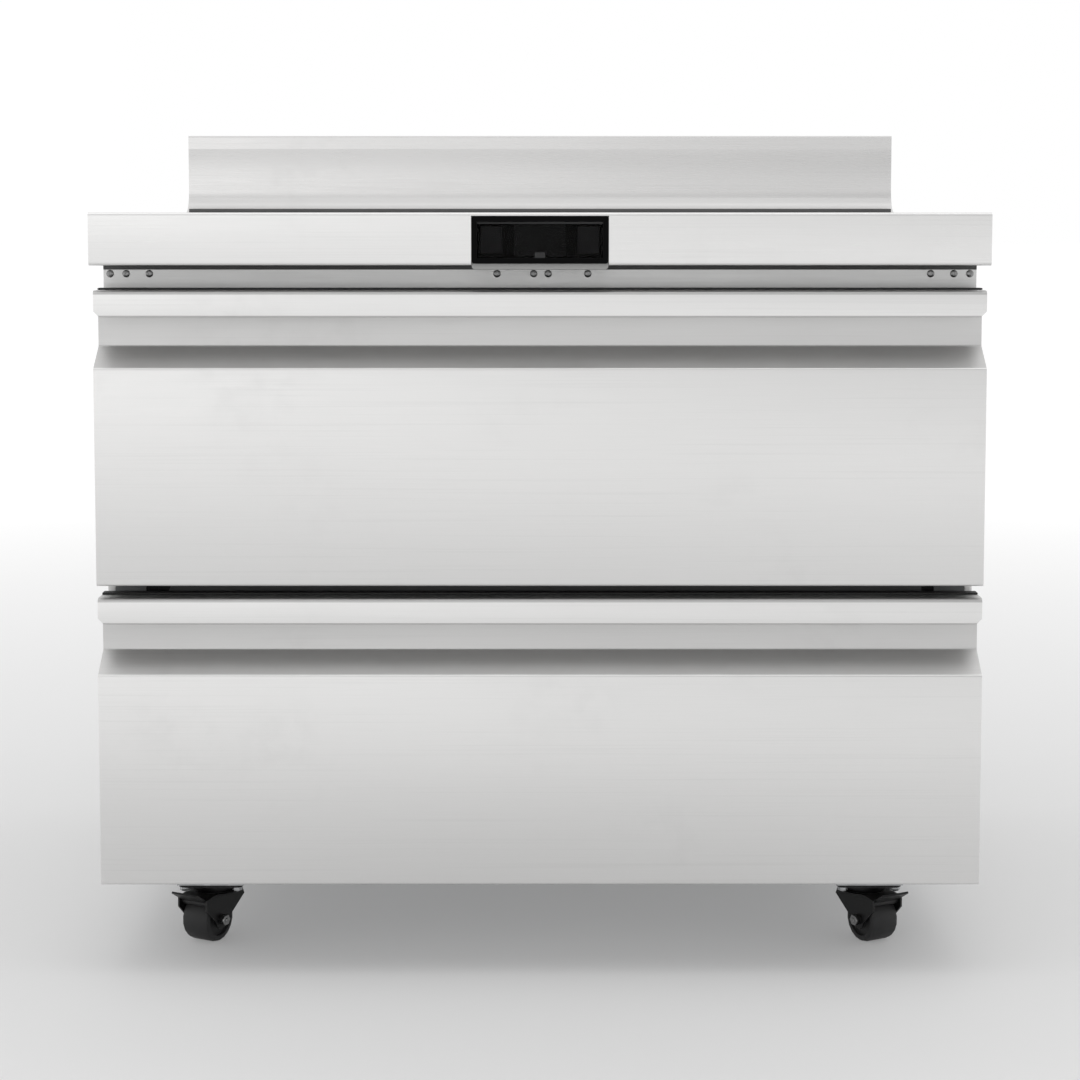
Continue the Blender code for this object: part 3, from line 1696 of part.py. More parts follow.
def make_condenser_motor():
    """The condenser's fan motor on a bracket that stands on the tray."""
    back = condenser_fan_y - fan_hub_depth / 2 - touch_gap - motor_length
    item = motor_body("condenser_fan_motor", motor_length, (condenser_x, back, condenser_fan_z))
    half = motor_bracket_width / 2
    sheet = motor_bracket_sheet
    foot = tray_floor + touch_gap
    angle = [
        (back - sheet, foot),
        (back + motor_length, foot),
        (back + motor_length, foot + sheet),
        (back + touch_gap, foot + sheet),
        (back + touch_gap, condenser_fan_z),
        (back - sheet, condenser_fan_z),
    ]
    joined(item, slab("motor_bracket", [angle], condenser_x - half, condenser_x + half))
    return as_part(item, "black_paint", smooth=True)


# Evaporator, behind its cover above the machine bay


def add_end_plates(coil):
    """Adds the plates at the coil's ends, which stand on the liner and reach its back."""
    half = evaporator_end - coil_tube_radius
    front = evaporator_y - (evaporator_depth + evaporator_plate_reach) / 2
    top = evaporator_foot + evaporator_height + evaporator_plate_reach / 2
    plates = []
    for side in (-1, 1):
        left = side * half - evaporator_plate_sheet / 2
        right = left + evaporator_plate_sheet
        plates.append(((left, front, liner_hump + touch_gap), (right, liner_high_back - touch_gap, top)))
    joined(coil, boxes("evaporator_end_plates", plates))


def make_evaporator_cover():
    """The cover with a guarded fan opening in the middle and return slots at both sides."""
    half = half_opening - evaporator_cover_side_gap
    sheet = evaporator_cover_sheet
    section = channel(
        evaporator_cover_y,
        evaporator_cover_y + evaporator_cover_flange,
        liner_hump + touch_gap,
        opening_top - touch_gap,
        sheet,
    )
    item = slab("evaporator_cover", [rounded(section)], -half, half)
    gaps = []
    step_out = evaporator_fan_radius / guard_ring_count
    turn = math.tau / guard_spoke_count
    for ring in range(guard_ring_count):
        inner = ring * step_out + guard_bar
        outer = (ring + 1) * step_out
        for spoke in range(guard_spoke_count):
            gaps.append(arc_gap(evaporator_fan_z, inner, outer, spoke * turn, turn))
    for side in (-1, 1):
        for index in range(return_slot_count):
            x = side * (half - return_slot_pitch * (index + 1))
            slot = rectangle_about(x, evaporator_fan_z, return_slot_width, return_slot_height)
            gaps.append(rounded(slot))
    before = evaporator_cover_y - overrun
    behind = evaporator_cover_y + overrun
    cut(item, slab("evaporator_cover_gaps", gaps, before, behind, "Y"))
    return as_part(item, "liner_white")


def arc_gap(middle_z, inner, outer, start, turn):
    """One gap of a round guard, between two rings and two spokes."""
    points = []
    for radius, order in ((inner, 1), (outer, -1)):
        margin = guard_bar / 2 / radius
        first = start + margin
        last = start + turn - margin
        if order < 0:
            first, last = last, first
        for step in range(bend_steps + 1):
            angle = first + (last - first) * step / bend_steps
            points.append((radius * math.cos(angle), middle_z + radius * math.sin(angle)))
    return points


def make_evaporator_motor():
    """The evaporator's fan motor on a strap that stands off the back of the cover."""
    front = evaporator_fan_y + fan_hub_depth / 2 + touch_gap
    body = motor_body("evaporator_fan_motor", evaporator_motor_length, (0, 0, 0))
    body.data.transform(Matrix.Rotation(math.pi, 4, "Z"))
    moved(body, at(0, front + evaporator_motor_length, evaporator_fan_z))
    sheet = motor_bracket_sheet
    reach = evaporator_fan_radius + motor_strap_clearance
    face = evaporator_cover_y + evaporator_cover_sheet + touch_gap
    back = front + evaporator_motor_length
    strap = [
        (-reach - sheet, face),
        (-reach, face),
        (-reach, back - sheet),
        (reach, back - sheet),
        (reach, face),
        (reach + sheet, face),
        (reach + sheet, back),
        (-reach - sheet, back),
    ]
    half = motor_strap_width / 2
    joined(body, slab("motor_strap", [strap], evaporator_fan_z - half, evaporator_fan_z + half, "Z"))
    return as_part(body, "black_paint", smooth=True)


def line(name, corners):
    return tube(name, routed(corners, line_bend), line_radius)


def make_suction_line():
    """The line from the evaporator, down through the insulation to the compressor."""
    run_x = line_hole_x + line_spacing / 2
    evaporator_z = evaporator_foot + evaporator_height * high_port_share
    corners = [
        (suction_stub_x, compressor_y, stub_top + touch_gap),
        (suction_stub_x, compressor_y, suction_run_z),
        (run_x, line_hole_y, suction_run_z),
        (run_x, line_hole_y, evaporator_z),
        (evaporator_end + touch_gap, line_hole_y, evaporator_z),
    ]
    return as_part(line("suction_line", corners), "copper", smooth=True)


def discharge_line():
    """The line from the compressor, brazed into the top of the condenser coil."""
    inlet_z = tray_floor + condenser_height * high_port_share
    corners = [
        (discharge_stub_x, compressor_y, stub_top + touch_gap),
        (discharge_stub_x, compressor_y, discharge_run_z),
        (coil_side + line_bend, compressor_y, discharge_run_z),
        (coil_side + line_bend, condenser_y, discharge_run_z),
        (coil_side + line_bend, condenser_y, inlet_z),
        (condenser_x + condenser_end - line_radius, condenser_y, inlet_z),
    ]
    return line("discharge_line", corners)


def make_liquid_line():
    """The line from the foot of the condenser through the drier and up to the evaporator."""
    outlet_z = tray_floor + condenser_height * low_port_share
    evaporator_z = evaporator_foot + evaporator_height * low_port_share
    corners = [
        (condenser_x + condenser_end + touch_gap, condenser_y, outlet_z),
        (liquid_rise_x, condenser_y, outlet_z),
        (liquid_rise_x, condenser_y, liquid_run_z),
        (liquid_run_x, condenser_y, liquid_run_z),
        (liquid_run_x, line_hole_y, liquid_run_z),
        (liquid_run_x, line_hole_y, evaporator_z),
        (evaporator_end + touch_gap, line_hole_y, evaporator_z),
    ]
    item = line("liquid_line", corners)
    half = drier_length / 2
    drier = turn_to_x(turned("drier", [
        (0, half),
        (line_radius, half - drier_taper),
        (drier_radius, half - drier_taper * 2),
        (drier_radius, -half + drier_taper * 2),
        (line_radius, -half + drier_taper),
        (0, -half),
    ], small_segments))
    joined(item, moved(drier, at(drier_x, condenser_y, liquid_run_z)))
    return as_part(item, "copper", smooth=True)


tray_half = half_body - tray_side_inset
tray_bottom = base_top + touch_gap
tray_floor = tray_bottom + tray_sheet
compressor_x = tray_half - compressor_side_inset
compressor_y = bay_front + tray_front_gap + tray_depth / 2
condenser_x = condenser_side_inset - tray_half
condenser_y = body_back - panel_sheet - condenser_back_gap - condenser_depth / 2
condenser_height = bay_top - condenser_top_gap - tray_floor - touch_gap
condenser_fan_radius = condenser_height / 2 - condenser_fan_margin
condenser_fan_z = tray_floor + touch_gap + condenser_height / 2
shroud_back = condenser_y - condenser_depth / 2 - touch_gap
shroud_front = shroud_back - shroud_depth
condenser_fan_y = shroud_front - fan_blade_depth / 2
condenser_end = (condenser_width - condenser_width / condenser_fin_count) / 2

compressor_foot_bottom = tray_floor + touch_gap + compressor_foot_lift
compressor_top = bay_top - compressor_top_gap
stub_top = compressor_top + stub_rise
suction_stub_x = compressor_x + stub_offset
discharge_stub_x = compressor_x - stub_offset
suction_run_z = bay_top - line_bend - line_radius
discharge_run_z = stub_top + line_bend * 2
liquid_run_z = bay_top - line_radius - drier_radius
coil_side = condenser_x + condenser_end + coil_bend_radius + coil_tube_radius + line_radius
liquid_rise_x = coil_side + line_bend * 3
liquid_run_x = line_hole_x - line_spacing / 2
drier_x = (liquid_rise_x + liquid_run_x) / 2

evaporator_cover_y = liner_low_back + evaporator_cover_setback
evaporator_y = line_hole_y
evaporator_width = 2 * (half_opening - evaporator_side_inset)
evaporator_foot = liner_hump + evaporator_lift
evaporator_height = opening_top - evaporator_top_gap - evaporator_foot
evaporator_fan_z = (liner_hump + opening_top) / 2
evaporator_fan_y = evaporator_cover_y + evaporator_cover_sheet + evaporator_fan_gap + fan_hub_depth / 2
evaporator_end = (evaporator_width - evaporator_width / evaporator_fin_count) / 2


# Assembly


def build_cabinet():
    make_worktop()
    make_side_panel("left_side_panel", -1)
    make_side_panel("right_side_panel", 1)
    make_base()
    make_back_panel()
    make_machine_cover()
    make_liner()
    make_insulation()
    make_top_rail()
    make_front_frame()
    make_mullion()
    make_gland()
    for side, word in ((-1, "left"), (1, "right")):
        make_cabinet_rail("upper_" + word + "_cabinet_rail", mullion_top, side)
        make_cabinet_rail("lower_" + word + "_cabinet_rail", opening_bottom, side)


def build_controller():
    make_bracket()
    make_bezel()
    make_display()
    make_key("left_key", -1)
    make_key("right_key", 1)
    make_controller_cover()


def build_drawer(prefix, top, bottom, space_bottom, space_top):
    """A drawer: its front and frame ride on one pivot, with a roller at each side, front and back."""
    carrier = pivot(prefix + "_drawer_slide", (0, drawer_face, (top + bottom) / 2))
    pieces = (
        make_drawer_front(prefix + "_drawer_front", top, bottom),
        make_inner_panel(prefix + "_inner_panel", top, bottom, space_bottom, space_top),
        make_gasket(prefix + "_gasket", top, bottom),
        make_drawer_frame(prefix + "_drawer_frame", space_bottom),
    )
    for piece in pieces:
        carry(piece, carrier)
    track = space_bottom + rail_lift + rail_sheet + touch_gap
    front_low = rail_web_inner - roller_side_clearance - roller_width
    rear_low = drawer_web_outer + roller_side_clearance
    front_place = (0, front_roller_y, track + front_roller_radius)
    rear_place = (0, rear_roller_y, track + rear_roller_radius)
    for side, word in ((-1, "left"), (1, "right")):
        start = prefix + "_" + word
        make_roller(start + "_cabinet_roller", front_roller_radius, front_low, front_place, side)
        rear = make_roller(start + "_drawer_roller", rear_roller_radius, rear_low, rear_place, side)
        carry(rear, carrier)


def build_casters():
    for corner in caster_places:
        make_fork(corner + "_fork", corner)
        make_wheel(corner + "_wheel", corner)
        if corner.startswith("front"):
            make_brake(corner + "_brake", corner)


def build_cooling():
    make_tray()
    make_compressor()
    condenser = make_coil(
        "condenser_coil",
        (condenser_x, condenser_y, tray_floor + touch_gap),
        condenser_width,
        condenser_height,
        condenser_depth,
        condenser_fin_count,
    )
    joined(condenser, discharge_line())
    make_shroud()
    make_condenser_motor()
    condenser_fan_place = (condenser_x, condenser_fan_y, condenser_fan_z)
    make_fan_blade("condenser_fan_blade", condenser_fan_radius, condenser_fan_place, False)
    evaporator = make_coil(
        "evaporator_coil",
        (0, evaporator_y, evaporator_foot),
        evaporator_width,
        evaporator_height,
        evaporator_depth,
        evaporator_fin_count,
    )
    add_end_plates(evaporator)
    make_evaporator_cover()
    make_evaporator_motor()
    evaporator_fan_place = (0, evaporator_fan_y, evaporator_fan_z)
    make_fan_blade("evaporator_fan_blade", evaporator_fan_radius, evaporator_fan_place, True)
    make_suction_line()
    make_liquid_line()


clear_scene()
parts = new_collection("worktop_drawer_refrigerator")
cutters = new_collection("cutters")
build_cabinet()
build_controller()
build_drawer("upper", upper_top, upper_bottom, mullion_top, opening_top)
build_drawer("lower", lower_top, lower_bottom, opening_bottom, mullion_bottom)
build_casters()
build_cooling()
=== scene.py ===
import json
import math

import bmesh
import bpy
from mathutils import Matrix, Vector


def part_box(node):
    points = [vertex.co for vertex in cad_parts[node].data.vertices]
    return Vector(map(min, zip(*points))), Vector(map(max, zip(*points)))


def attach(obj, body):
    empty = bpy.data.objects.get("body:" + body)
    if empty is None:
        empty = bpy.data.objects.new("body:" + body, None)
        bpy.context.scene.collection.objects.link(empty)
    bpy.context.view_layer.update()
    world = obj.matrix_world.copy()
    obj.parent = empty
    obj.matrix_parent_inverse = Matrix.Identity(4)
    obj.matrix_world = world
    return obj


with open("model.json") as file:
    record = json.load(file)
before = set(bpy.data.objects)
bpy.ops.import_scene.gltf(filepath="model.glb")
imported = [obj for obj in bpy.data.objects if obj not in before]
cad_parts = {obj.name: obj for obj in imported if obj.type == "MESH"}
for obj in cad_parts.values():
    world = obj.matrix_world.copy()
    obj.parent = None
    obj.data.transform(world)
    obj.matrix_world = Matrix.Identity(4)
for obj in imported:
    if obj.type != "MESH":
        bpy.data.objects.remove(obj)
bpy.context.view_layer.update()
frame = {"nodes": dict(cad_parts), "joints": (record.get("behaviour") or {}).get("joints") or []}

# The photograph's frame, taken as 1080 x 1080, and the camera that sees the worktop edge-on
frame_pixels = 1080
worktop_line_pixel = 212.5
focal_pixels = 2487
shift_pixels = -108
camera_distance = 2.543
sensor_width_mm = 36
worktop_top = 0.797
front_plane = -0.381

# Facets: those that meet under this angle are shaded as one round surface
facet_angle = math.radians(40)
facet_weld = 0.00002
turned_weld = 0.000005

# How far a small piece stands off the sheet that it sits on
touch = 0.0002

# Where a piece's second finish starts
handle_recess_line = -0.372
front_end_line = 0.4583
cove_foot = 0.328
cover_tab_line = -0.3806
mullion_block_line = 0.3907
caster_plate_line = 0.0665

# Rubbed edges and roughness: steel turns brighter, and plastic paler by a share and a lift
rubbed_steel_share = 1.08
rubbed_plastic_share = 1.5
rubbed_plastic_lift = 0.02
plastic_rough_half = 0.05

# The bulge of the foamed skins: its depth, the share of a front's height that is its flat
# face, and the span of the backsplash
bulge_depth = 0.0040
face_share = 0.735
backsplash_span = (0.79, 0.88)

# A pan head screw: shares of its radius, and for heights shares of its rise
head_rise_share = 0.58
head_rim_share = 0.16
head_fullness = 0.7
head_steps = 6
cross_reach_share = 0.52
cross_width_share = 0.13
cross_floor_share = 0.25
cross_overrun_share = 1.6

# A nut and its bolt's end: shares of the nut's height and of the bore
nut_chamfer_share = 0.08
bolt_rise_share = 1.3
bolt_shoulder_share = 1.15
bolt_tip_share = 0.8
bolt_segments = 18

# Screws on the top rail, as distances from the middle
rail_screw_line = 0.7332
rail_screw_spots = (
    -0.4500, -0.4332, -0.4090, -0.0450, -0.0066, 0.0085, 0.0500, 0.4090, 0.4332, 0.4500,
)
rail_screw_radius = 0.0039
rail_screw_turn = math.radians(23)

# Screws round the back: shares along each panel's top and foot, and up its two sides
back_screw_radius = 0.0042
back_screw_margin = 0.012
back_screw_shares = (0.02, 0.25, 0.5, 0.75, 0.98)
back_screw_side_shares = (("back_panel", (0.30, 0.62)), ("machine_cover", (0.5,)))

# Nuts and bolts of the casters, as (across the flats, height, bore)
axle_nut_size = (0.0105, 0.0034, 0.0026)
axle_nut_seat = 0.0228
plate_bolt_size = (0.0100, 0.0040, 0.0028)
plate_bolt_spread = (0.0285, 0.0290)
plate_underside = 0.0645

# Dark strips that paint shade lines: under the worktop's edge, along the backsplash's foot and on
# top of each front
strip_rounding = 0.0006
shade_strip_depth = 0.0012
shade_strip_height = 0.0052
bead_half_width = 0.0012
bead_height = 0.0048
bead_end_gap = 0.004
front_strip_insets = (0.0170, 0.0030)
front_strip_height = 0.0019

# The floor
floor_reach = 60
floor_colour = (0.60, 0.60, 0.60)


# Shader building


def new_material(name):
    """A material with its node tree and its shader."""
    material = bpy.data.materials.new(name)
    material.use_nodes = True
    return material, material.node_tree, material.node_tree.nodes["Principled BSDF"]


def add(tree, kind, **settings):
    """A node of a tree, with its properties and its unlinked inputs set by name."""
    node = tree.nodes.new(kind)
    for key, value in settings.items():
        if hasattr(node, key):
            setattr(node, key, value)
        else:
            node.inputs[key.replace("_", " ").title()].default_value = value
    return node


def join(tree, source, target):
    """A link from an output to an input."""
    tree.links.new(source, target)


def object_vector(tree, scale=(1, 1, 1)):
    """Object coordinates in metres, stretched by a scale for each axis."""
    place = add(tree, "ShaderNodeTexCoord")
    stretch = add(tree, "ShaderNodeMapping")
    stretch.inputs["Scale"].default_value = scale
    join(tree, place.outputs["Object"], stretch.inputs["Vector"])
    return stretch.outputs["Vector"]


def split_axes(tree, vector):
    """The three parts of a vector, by axis."""
    split = add(tree, "ShaderNodeSeparateXYZ")
    join(tree, vector, split.inputs["Vector"])
    return split.outputs


def noise(tree, vector, scale, detail=4.0, roughness=0.55):
    """Cloudy noise from zero to one."""
    node = add(tree, "ShaderNodeTexNoise", scale=scale, detail=detail, roughness=roughness)
    join(tree, vector, node.inputs["Vector"])
    return node.outputs["Fac"]


def spread(tree, value, low, high, to_low=0.0, to_high=1.0):
    """A value taken from one range to another."""
    node = add(tree, "ShaderNodeMapRange")
    ends = {"From Min": low, "From Max": high, "To Min": to_low, "To Max": to_high}
    for key, number in ends.items():
        node.inputs[key].default_value = number
    join(tree, value, node.inputs["Value"])
    return node.outputs["Result"]


def combine(tree, operation, first, second):
    """Two values, or a value and a number, put together by an operation."""
    node = add(tree, "ShaderNodeMath", operation=operation)
    for socket, value in zip(node.inputs, (first, second)):
        if isinstance(value, (int, float)):
            socket.default_value = value
        else:
            join(tree, value, socket)
    return node.outputs["Value"]


def plus(tree, value, extra, share):
    """A value with a share of another added."""
    return combine(tree, "ADD", value, combine(tree, "MULTIPLY", extra, share))


def toward(tree, colour, other, factor):
    """A colour, written or from a node, that a factor takes toward another one."""
    mix = add(tree, "ShaderNodeMix", data_type="RGBA")
    if isinstance(colour, bpy.types.NodeSocket):
        join(tree, colour, mix.inputs["A"])
    else:
        mix.inputs["A"].default_value = (*colour, 1)
    mix.inputs["B"].default_value = (*other, 1)
    join(tree, factor, mix.inputs["Factor"])
    return mix.outputs["Result"]


def tinted(tree, colour, value, darker):
    """A colour that a value takes toward a darker share of itself."""
    return toward(tree, colour, [part * darker for part in colour], value)


def bump(tree, height, strength, distance, under=None):
    """The normals of a height, on top of those of another bump where one is given."""
    node = add(tree, "ShaderNodeBump")
    node.inputs["Strength"].default_value = strength
    node.inputs["Distance"].default_value = distance
    join(tree, height, node.inputs["Height"])
    if under:
        join(tree, under, node.inputs["Normal"])
    return node.outputs["Normal"]


# Effects that several finishes share


def new_group(name, outputs, numbers=()):
    """A node group that takes a vector, and numbers if it has any, and puts out values."""
    group = bpy.data.node_groups.new(name, "ShaderNodeTree")
    group.interface.new_socket("Vector", in_out="INPUT", socket_type="NodeSocketVector")
    for number in numbers:
        group.interface.new_socket(number, in_out="INPUT", socket_type="NodeSocketFloat")
    for output in outputs:
        group.interface.new_socket(output, in_out="OUTPUT", socket_type="NodeSocketFloat")
    source = group.nodes.new("NodeGroupInput").outputs
    return group, source, group.nodes.new("NodeGroupOutput").inputs


def make_streaks_group():
    """Fine polishing lines: many short ones and a few long ones. The vector comes stretched."""
    group, source, result = new_group("polishing_lines", ("Fine", "Long"))
    fine = noise(group, source["Vector"], scale=1.0, detail=6.0, roughness=0.65)
    join(group, spread(group, fine, 0.3, 0.7), result["Fine"])
    lines = noise(group, source["Vector"], scale=0.23, detail=2.0, roughness=0.4)
    join(group, spread(group, lines, 0.56, 0.74), result["Long"])
    return group


def make_smudge_group():
    """Cloudy wiping marks and a few smaller prints."""
    group, source, result = new_group("wiping_marks", ("Cloud", "Prints"))
    cloud = noise(group, source["Vector"], scale=2.6, detail=3.0, roughness=0.5)
    join(group, spread(group, cloud, 0.35, 0.7), result["Cloud"])
    broad = noise(group, source["Vector"], scale=5.5, detail=2.0, roughness=0.5)
    small = noise(group, source["Vector"], scale=38.0, detail=4.0, roughness=0.6)
    prints = combine(
        group, "MULTIPLY", spread(group, broad, 0.55, 0.72), spread(group, small, 0.45, 0.65)
    )
    join(group, prints, result["Prints"])
    return group


def make_grain_group():
    """The fine moulded grain of plastics, with slow variation of tone."""
    group, source, result = new_group("moulded_grain", ("Grain", "Tone"))
    cells = add(group, "ShaderNodeTexVoronoi", scale=1100.0)
    join(group, source["Vector"], cells.inputs["Vector"])
    fine = noise(group, source["Vector"], scale=1700.0, detail=3.0, roughness=0.6)
    join(group, combine(group, "ADD", cells.outputs["Distance"], fine), result["Grain"])
    tone = noise(group, source["Vector"], scale=14.0, detail=3.0, roughness=0.5)
    join(group, tone, result["Tone"])
    return group


def make_dust_group():
    """Where dust settles: on faces that look up, in patches."""
    group, source, result = new_group("settled_dust", ("Mask",))
    facing = add(group, "ShaderNodeNewGeometry").outputs["Normal"]
    upward = spread(group, split_axes(group, facing)["Z"], 0.3, 1.0)
    patches = noise(group, source["Vector"], scale=30.0, detail=5.0, roughness=0.6)
    mask = combine(group, "MULTIPLY", upward, spread(group, patches, 0.35, 0.75))
    join(group, mask, result["Mask"])
    return group


def make_wear_group():
    """Where hands and cloths rub: a broken line along the edges of a piece."""
    group, source, result = new_group("rubbed_edges", ("Mask",), ("Width",))
    rounded = add(group, "ShaderNodeBevel", samples=4)
    join(group, source["Width"], rounded.inputs["Radius"])
    flat = add(group, "ShaderNodeNewGeometry")
    likeness = add(group, "ShaderNodeVectorMath", operation="DOT_PRODUCT")
    join(group, rounded.outputs["Normal"], likeness.inputs[0])
    join(group, flat.outputs["Normal"], likeness.inputs[1])
    edge = spread(group, likeness.outputs["Value"], 0.995, 0.90)
    broken = noise(group, source["Vector"], scale=60.0, detail=4.0, roughness=0.6)
    mask = combine(group, "MULTIPLY", edge, spread(group, broken, 0.35, 0.62))
    join(group, mask, result["Mask"])
    return group


def make_crown_group():
    """The slight outward bulge of a foamed skin, as a height over a rectangle in X and Z."""
    group, source, result = new_group("foamed_bulge", ("Height",), ("Low", "High"))
    axes = split_axes(group, source["Vector"])
    level = add(group, "ShaderNodeMapRange")
    level.inputs["To Min"].default_value = -1
    join(group, axes["Z"], level.inputs["Value"])
    join(group, source["Low"], level.inputs["From Min"])
    join(group, source["High"], level.inputs["From Max"])
    upright = combine(group, "MULTIPLY", level.outputs["Result"], level.outputs["Result"])
    across = combine(group, "MULTIPLY", axes["X"], axes["X"])
    fall = plus(group, upright, across, 1.6)
    join(group, combine(group, "MULTIPLY", fall, -1.0), result["Height"])
    return group


polishing_lines = make_streaks_group()
wiping_marks = make_smudge_group()
moulded_grain = make_grain_group()
settled_dust = make_dust_group()
rubbed_edges = make_wear_group()
foamed_bulge = make_crown_group()


def use(tree, group, scale=(1, 1, 1), **numbers):
    """The outputs of a shared effect, over object coordinates stretched by a scale."""
    node = add(tree, "ShaderNodeGroup")
    node.node_tree = group
    join(tree, object_vector(tree, scale), node.inputs["Vector"])
    for key, number in numbers.items():
        node.inputs[key].default_value = number
    return node.outputs


def worn(tree, colour, wear_colour, width, share):
    """A colour that turns to another along rubbed edges, and those edges' mask."""
    rubbed = use(tree, rubbed_edges, Width=width)["Mask"]
    return toward(tree, colour, wear_colour, combine(tree, "MULTIPLY", rubbed, share)), rubbed


# Finishes: colours are linear. A steel's rough is its lowest and highest roughness, and a
# plastic's is the middle of a narrow range.


def metal(name):
    """A metal's material, with its node tree and its shader."""
    material, tree, shader = new_material(name)
    shader.inputs["Metallic"].default_value = 1.0
    return material, tree, shader


def polished_steel(name, stretch, colour=(0.785, 0.782, 0.776), rough=(0.27, 0.40), bulge=None):
    """Satin steel with polishing lines; the stretch is small along the lines and large across."""
    material, tree, shader = metal(name)
    lines = use(tree, polishing_lines, stretch)
    marks = use(tree, wiping_marks)
    dust = use(tree, settled_dust)
    shade = combine(tree, "MULTIPLY", lines["Fine"], 0.35)
    shade = plus(tree, shade, lines["Long"], 0.5)
    shade = plus(tree, shade, marks["Prints"], 0.5)
    brighter = [part * rubbed_steel_share for part in colour]
    tone = tinted(tree, colour, shade, darker=0.94)
    tone, rubbed = worn(tree, tone, brighter, width=0.0012, share=0.5)
    join(tree, tone, shader.inputs["Base Color"])
    value = spread(tree, lines["Fine"], 0, 1, *rough)
    value = plus(tree, value, rubbed, -0.08)
    value = plus(tree, value, marks["Cloud"], 0.05)
    value = plus(tree, value, marks["Prints"], 0.03)
    value = plus(tree, value, dust["Mask"], 0.08)
    join(tree, value, shader.inputs["Roughness"])
    crown = None
    if bulge:
        low, high = bulge
        height = use(tree, foamed_bulge, Low=low, High=high)["Height"]
        crown = bump(tree, height, strength=1.0, distance=bulge_depth)
    height = combine(tree, "ADD", lines["Fine"], lines["Long"])
    grain = bump(tree, height, strength=0.10, distance=0.0002, under=crown)
    join(tree, grain, shader.inputs["Normal"])
    return material


def zinc_sheet():
    """Galvanised sheet with its frost-like crystals."""
    material, tree, shader = metal("zinc_sheet")
    crystals = add(tree, "ShaderNodeTexVoronoi", scale=85.0, randomness=1.0)
    join(tree, object_vector(tree), crystals.inputs["Vector"])
    lines = use(tree, polishing_lines, (300, 300, 300))
    crystal = split_axes(tree, crystals.outputs["Color"])
    tone = tinted(tree, (0.56, 0.57, 0.58), crystal["X"], darker=0.74)
    join(tree, tone, shader.inputs["Base Color"])
    rough = plus(tree, spread(tree, crystal["Y"], 0, 1, 0.34, 0.52), lines["Fine"], 0.05)
    join(tree, rough, shader.inputs["Roughness"])
    grain = bump(tree, lines["Fine"], strength=0.08, distance=0.0002)
    join(tree, grain, shader.inputs["Normal"])
    return material


def rolled_aluminium():
    """Mill-finished fins with rolling lines and dull patches."""
    material, tree, shader = metal("rolled_aluminium")
    lines = use(tree, polishing_lines, (900, 900, 40))
    marks = use(tree, wiping_marks)
    tone = tinted(tree, (0.70, 0.71, 0.72), lines["Fine"], darker=0.82)
    join(tree, tone, shader.inputs["Base Color"])
    join(tree, spread(tree, marks["Cloud"], 0, 1, 0.34, 0.52), shader.inputs["Roughness"])
    grain = bump(tree, lines["Fine"], strength=0.12, distance=0.0002)
    join(tree, grain, shader.inputs["Normal"])
    return material


def drawn_copper():
    """Copper tube with darker, duller patches."""
    material, tree, shader = metal("drawn_copper")
    marks = use(tree, wiping_marks, (7, 7, 7))
    lines = use(tree, polishing_lines, (700, 700, 60))
    tone = tinted(tree, (0.74, 0.36, 0.22), marks["Cloud"], darker=0.62)
    join(tree, tone, shader.inputs["Base Color"])
    join(tree, spread(tree, marks["Cloud"], 0, 1, 0.24, 0.46), shader.inputs["Roughness"])
    grain = bump(tree, lines["Fine"], strength=0.06, distance=0.0002)
    join(tree, grain, shader.inputs["Normal"])
    return material


def plastic(name, colour, rough, darker=0.82, dusty=0.0, shine=0.5):
    """Moulded plastic or rubber with a fine grain, and dust on what looks up where it's dusty."""
    material, tree, shader = new_material(name)
    shader.inputs["Specular IOR Level"].default_value = shine
    grain = use(tree, moulded_grain)
    marks = use(tree, wiping_marks)
    tone = tinted(tree, colour, grain["Tone"], darker)
    if dusty:
        dust = use(tree, settled_dust)
        cover = combine(tree, "MULTIPLY", dust["Mask"], dusty)
        tone = toward(tree, tone, (0.35, 0.34, 0.32), cover)
    paler = [min(1, part * rubbed_plastic_share + rubbed_plastic_lift) for part in colour]
    tone, rubbed = worn(tree, tone, paler, width=0.0006, share=0.6)
    join(tree, tone, shader.inputs["Base Color"])
    half = plastic_rough_half
    value = spread(tree, grain["Tone"], 0, 1, rough - half, rough + half)
    value = plus(tree, value, marks["Prints"], 0.08)
    value = plus(tree, value, rubbed, -0.1)
    join(tree, value, shader.inputs["Roughness"])
    relief = bump(tree, grain["Grain"], strength=0.12, distance=0.00012)
    join(tree, relief, shader.inputs["Normal"])
    return material


def enamel(name, colour):
    """Stoved paint with a slight orange peel."""
    material, tree, shader = new_material(name)
    shader.inputs["Specular IOR Level"].default_value = 0.25
    shader.inputs["Coat Weight"].default_value = 0.12
    shader.inputs["Coat Roughness"].default_value = 0.22
    grain = use(tree, moulded_grain, (0.22, 0.22, 0.22))
    dust = use(tree, settled_dust)
    cover = combine(tree, "MULTIPLY", dust["Mask"], 0.22)
    tone = toward(tree, tinted(tree, colour, grain["Tone"], darker=0.7), (0.22, 0.21, 0.20), cover)
    tone, rubbed = worn(tree, tone, (0.20, 0.20, 0.20), width=0.0007, share=0.5)
    join(tree, tone, shader.inputs["Base Color"])
    value = plus(tree, spread(tree, grain["Tone"], 0, 1, 0.34, 0.48), rubbed, -0.1)
    join(tree, value, shader.inputs["Roughness"])
    relief = bump(tree, grain["Grain"], strength=0.10, distance=0.0002)
    join(tree, relief, shader.inputs["Normal"])
    return material


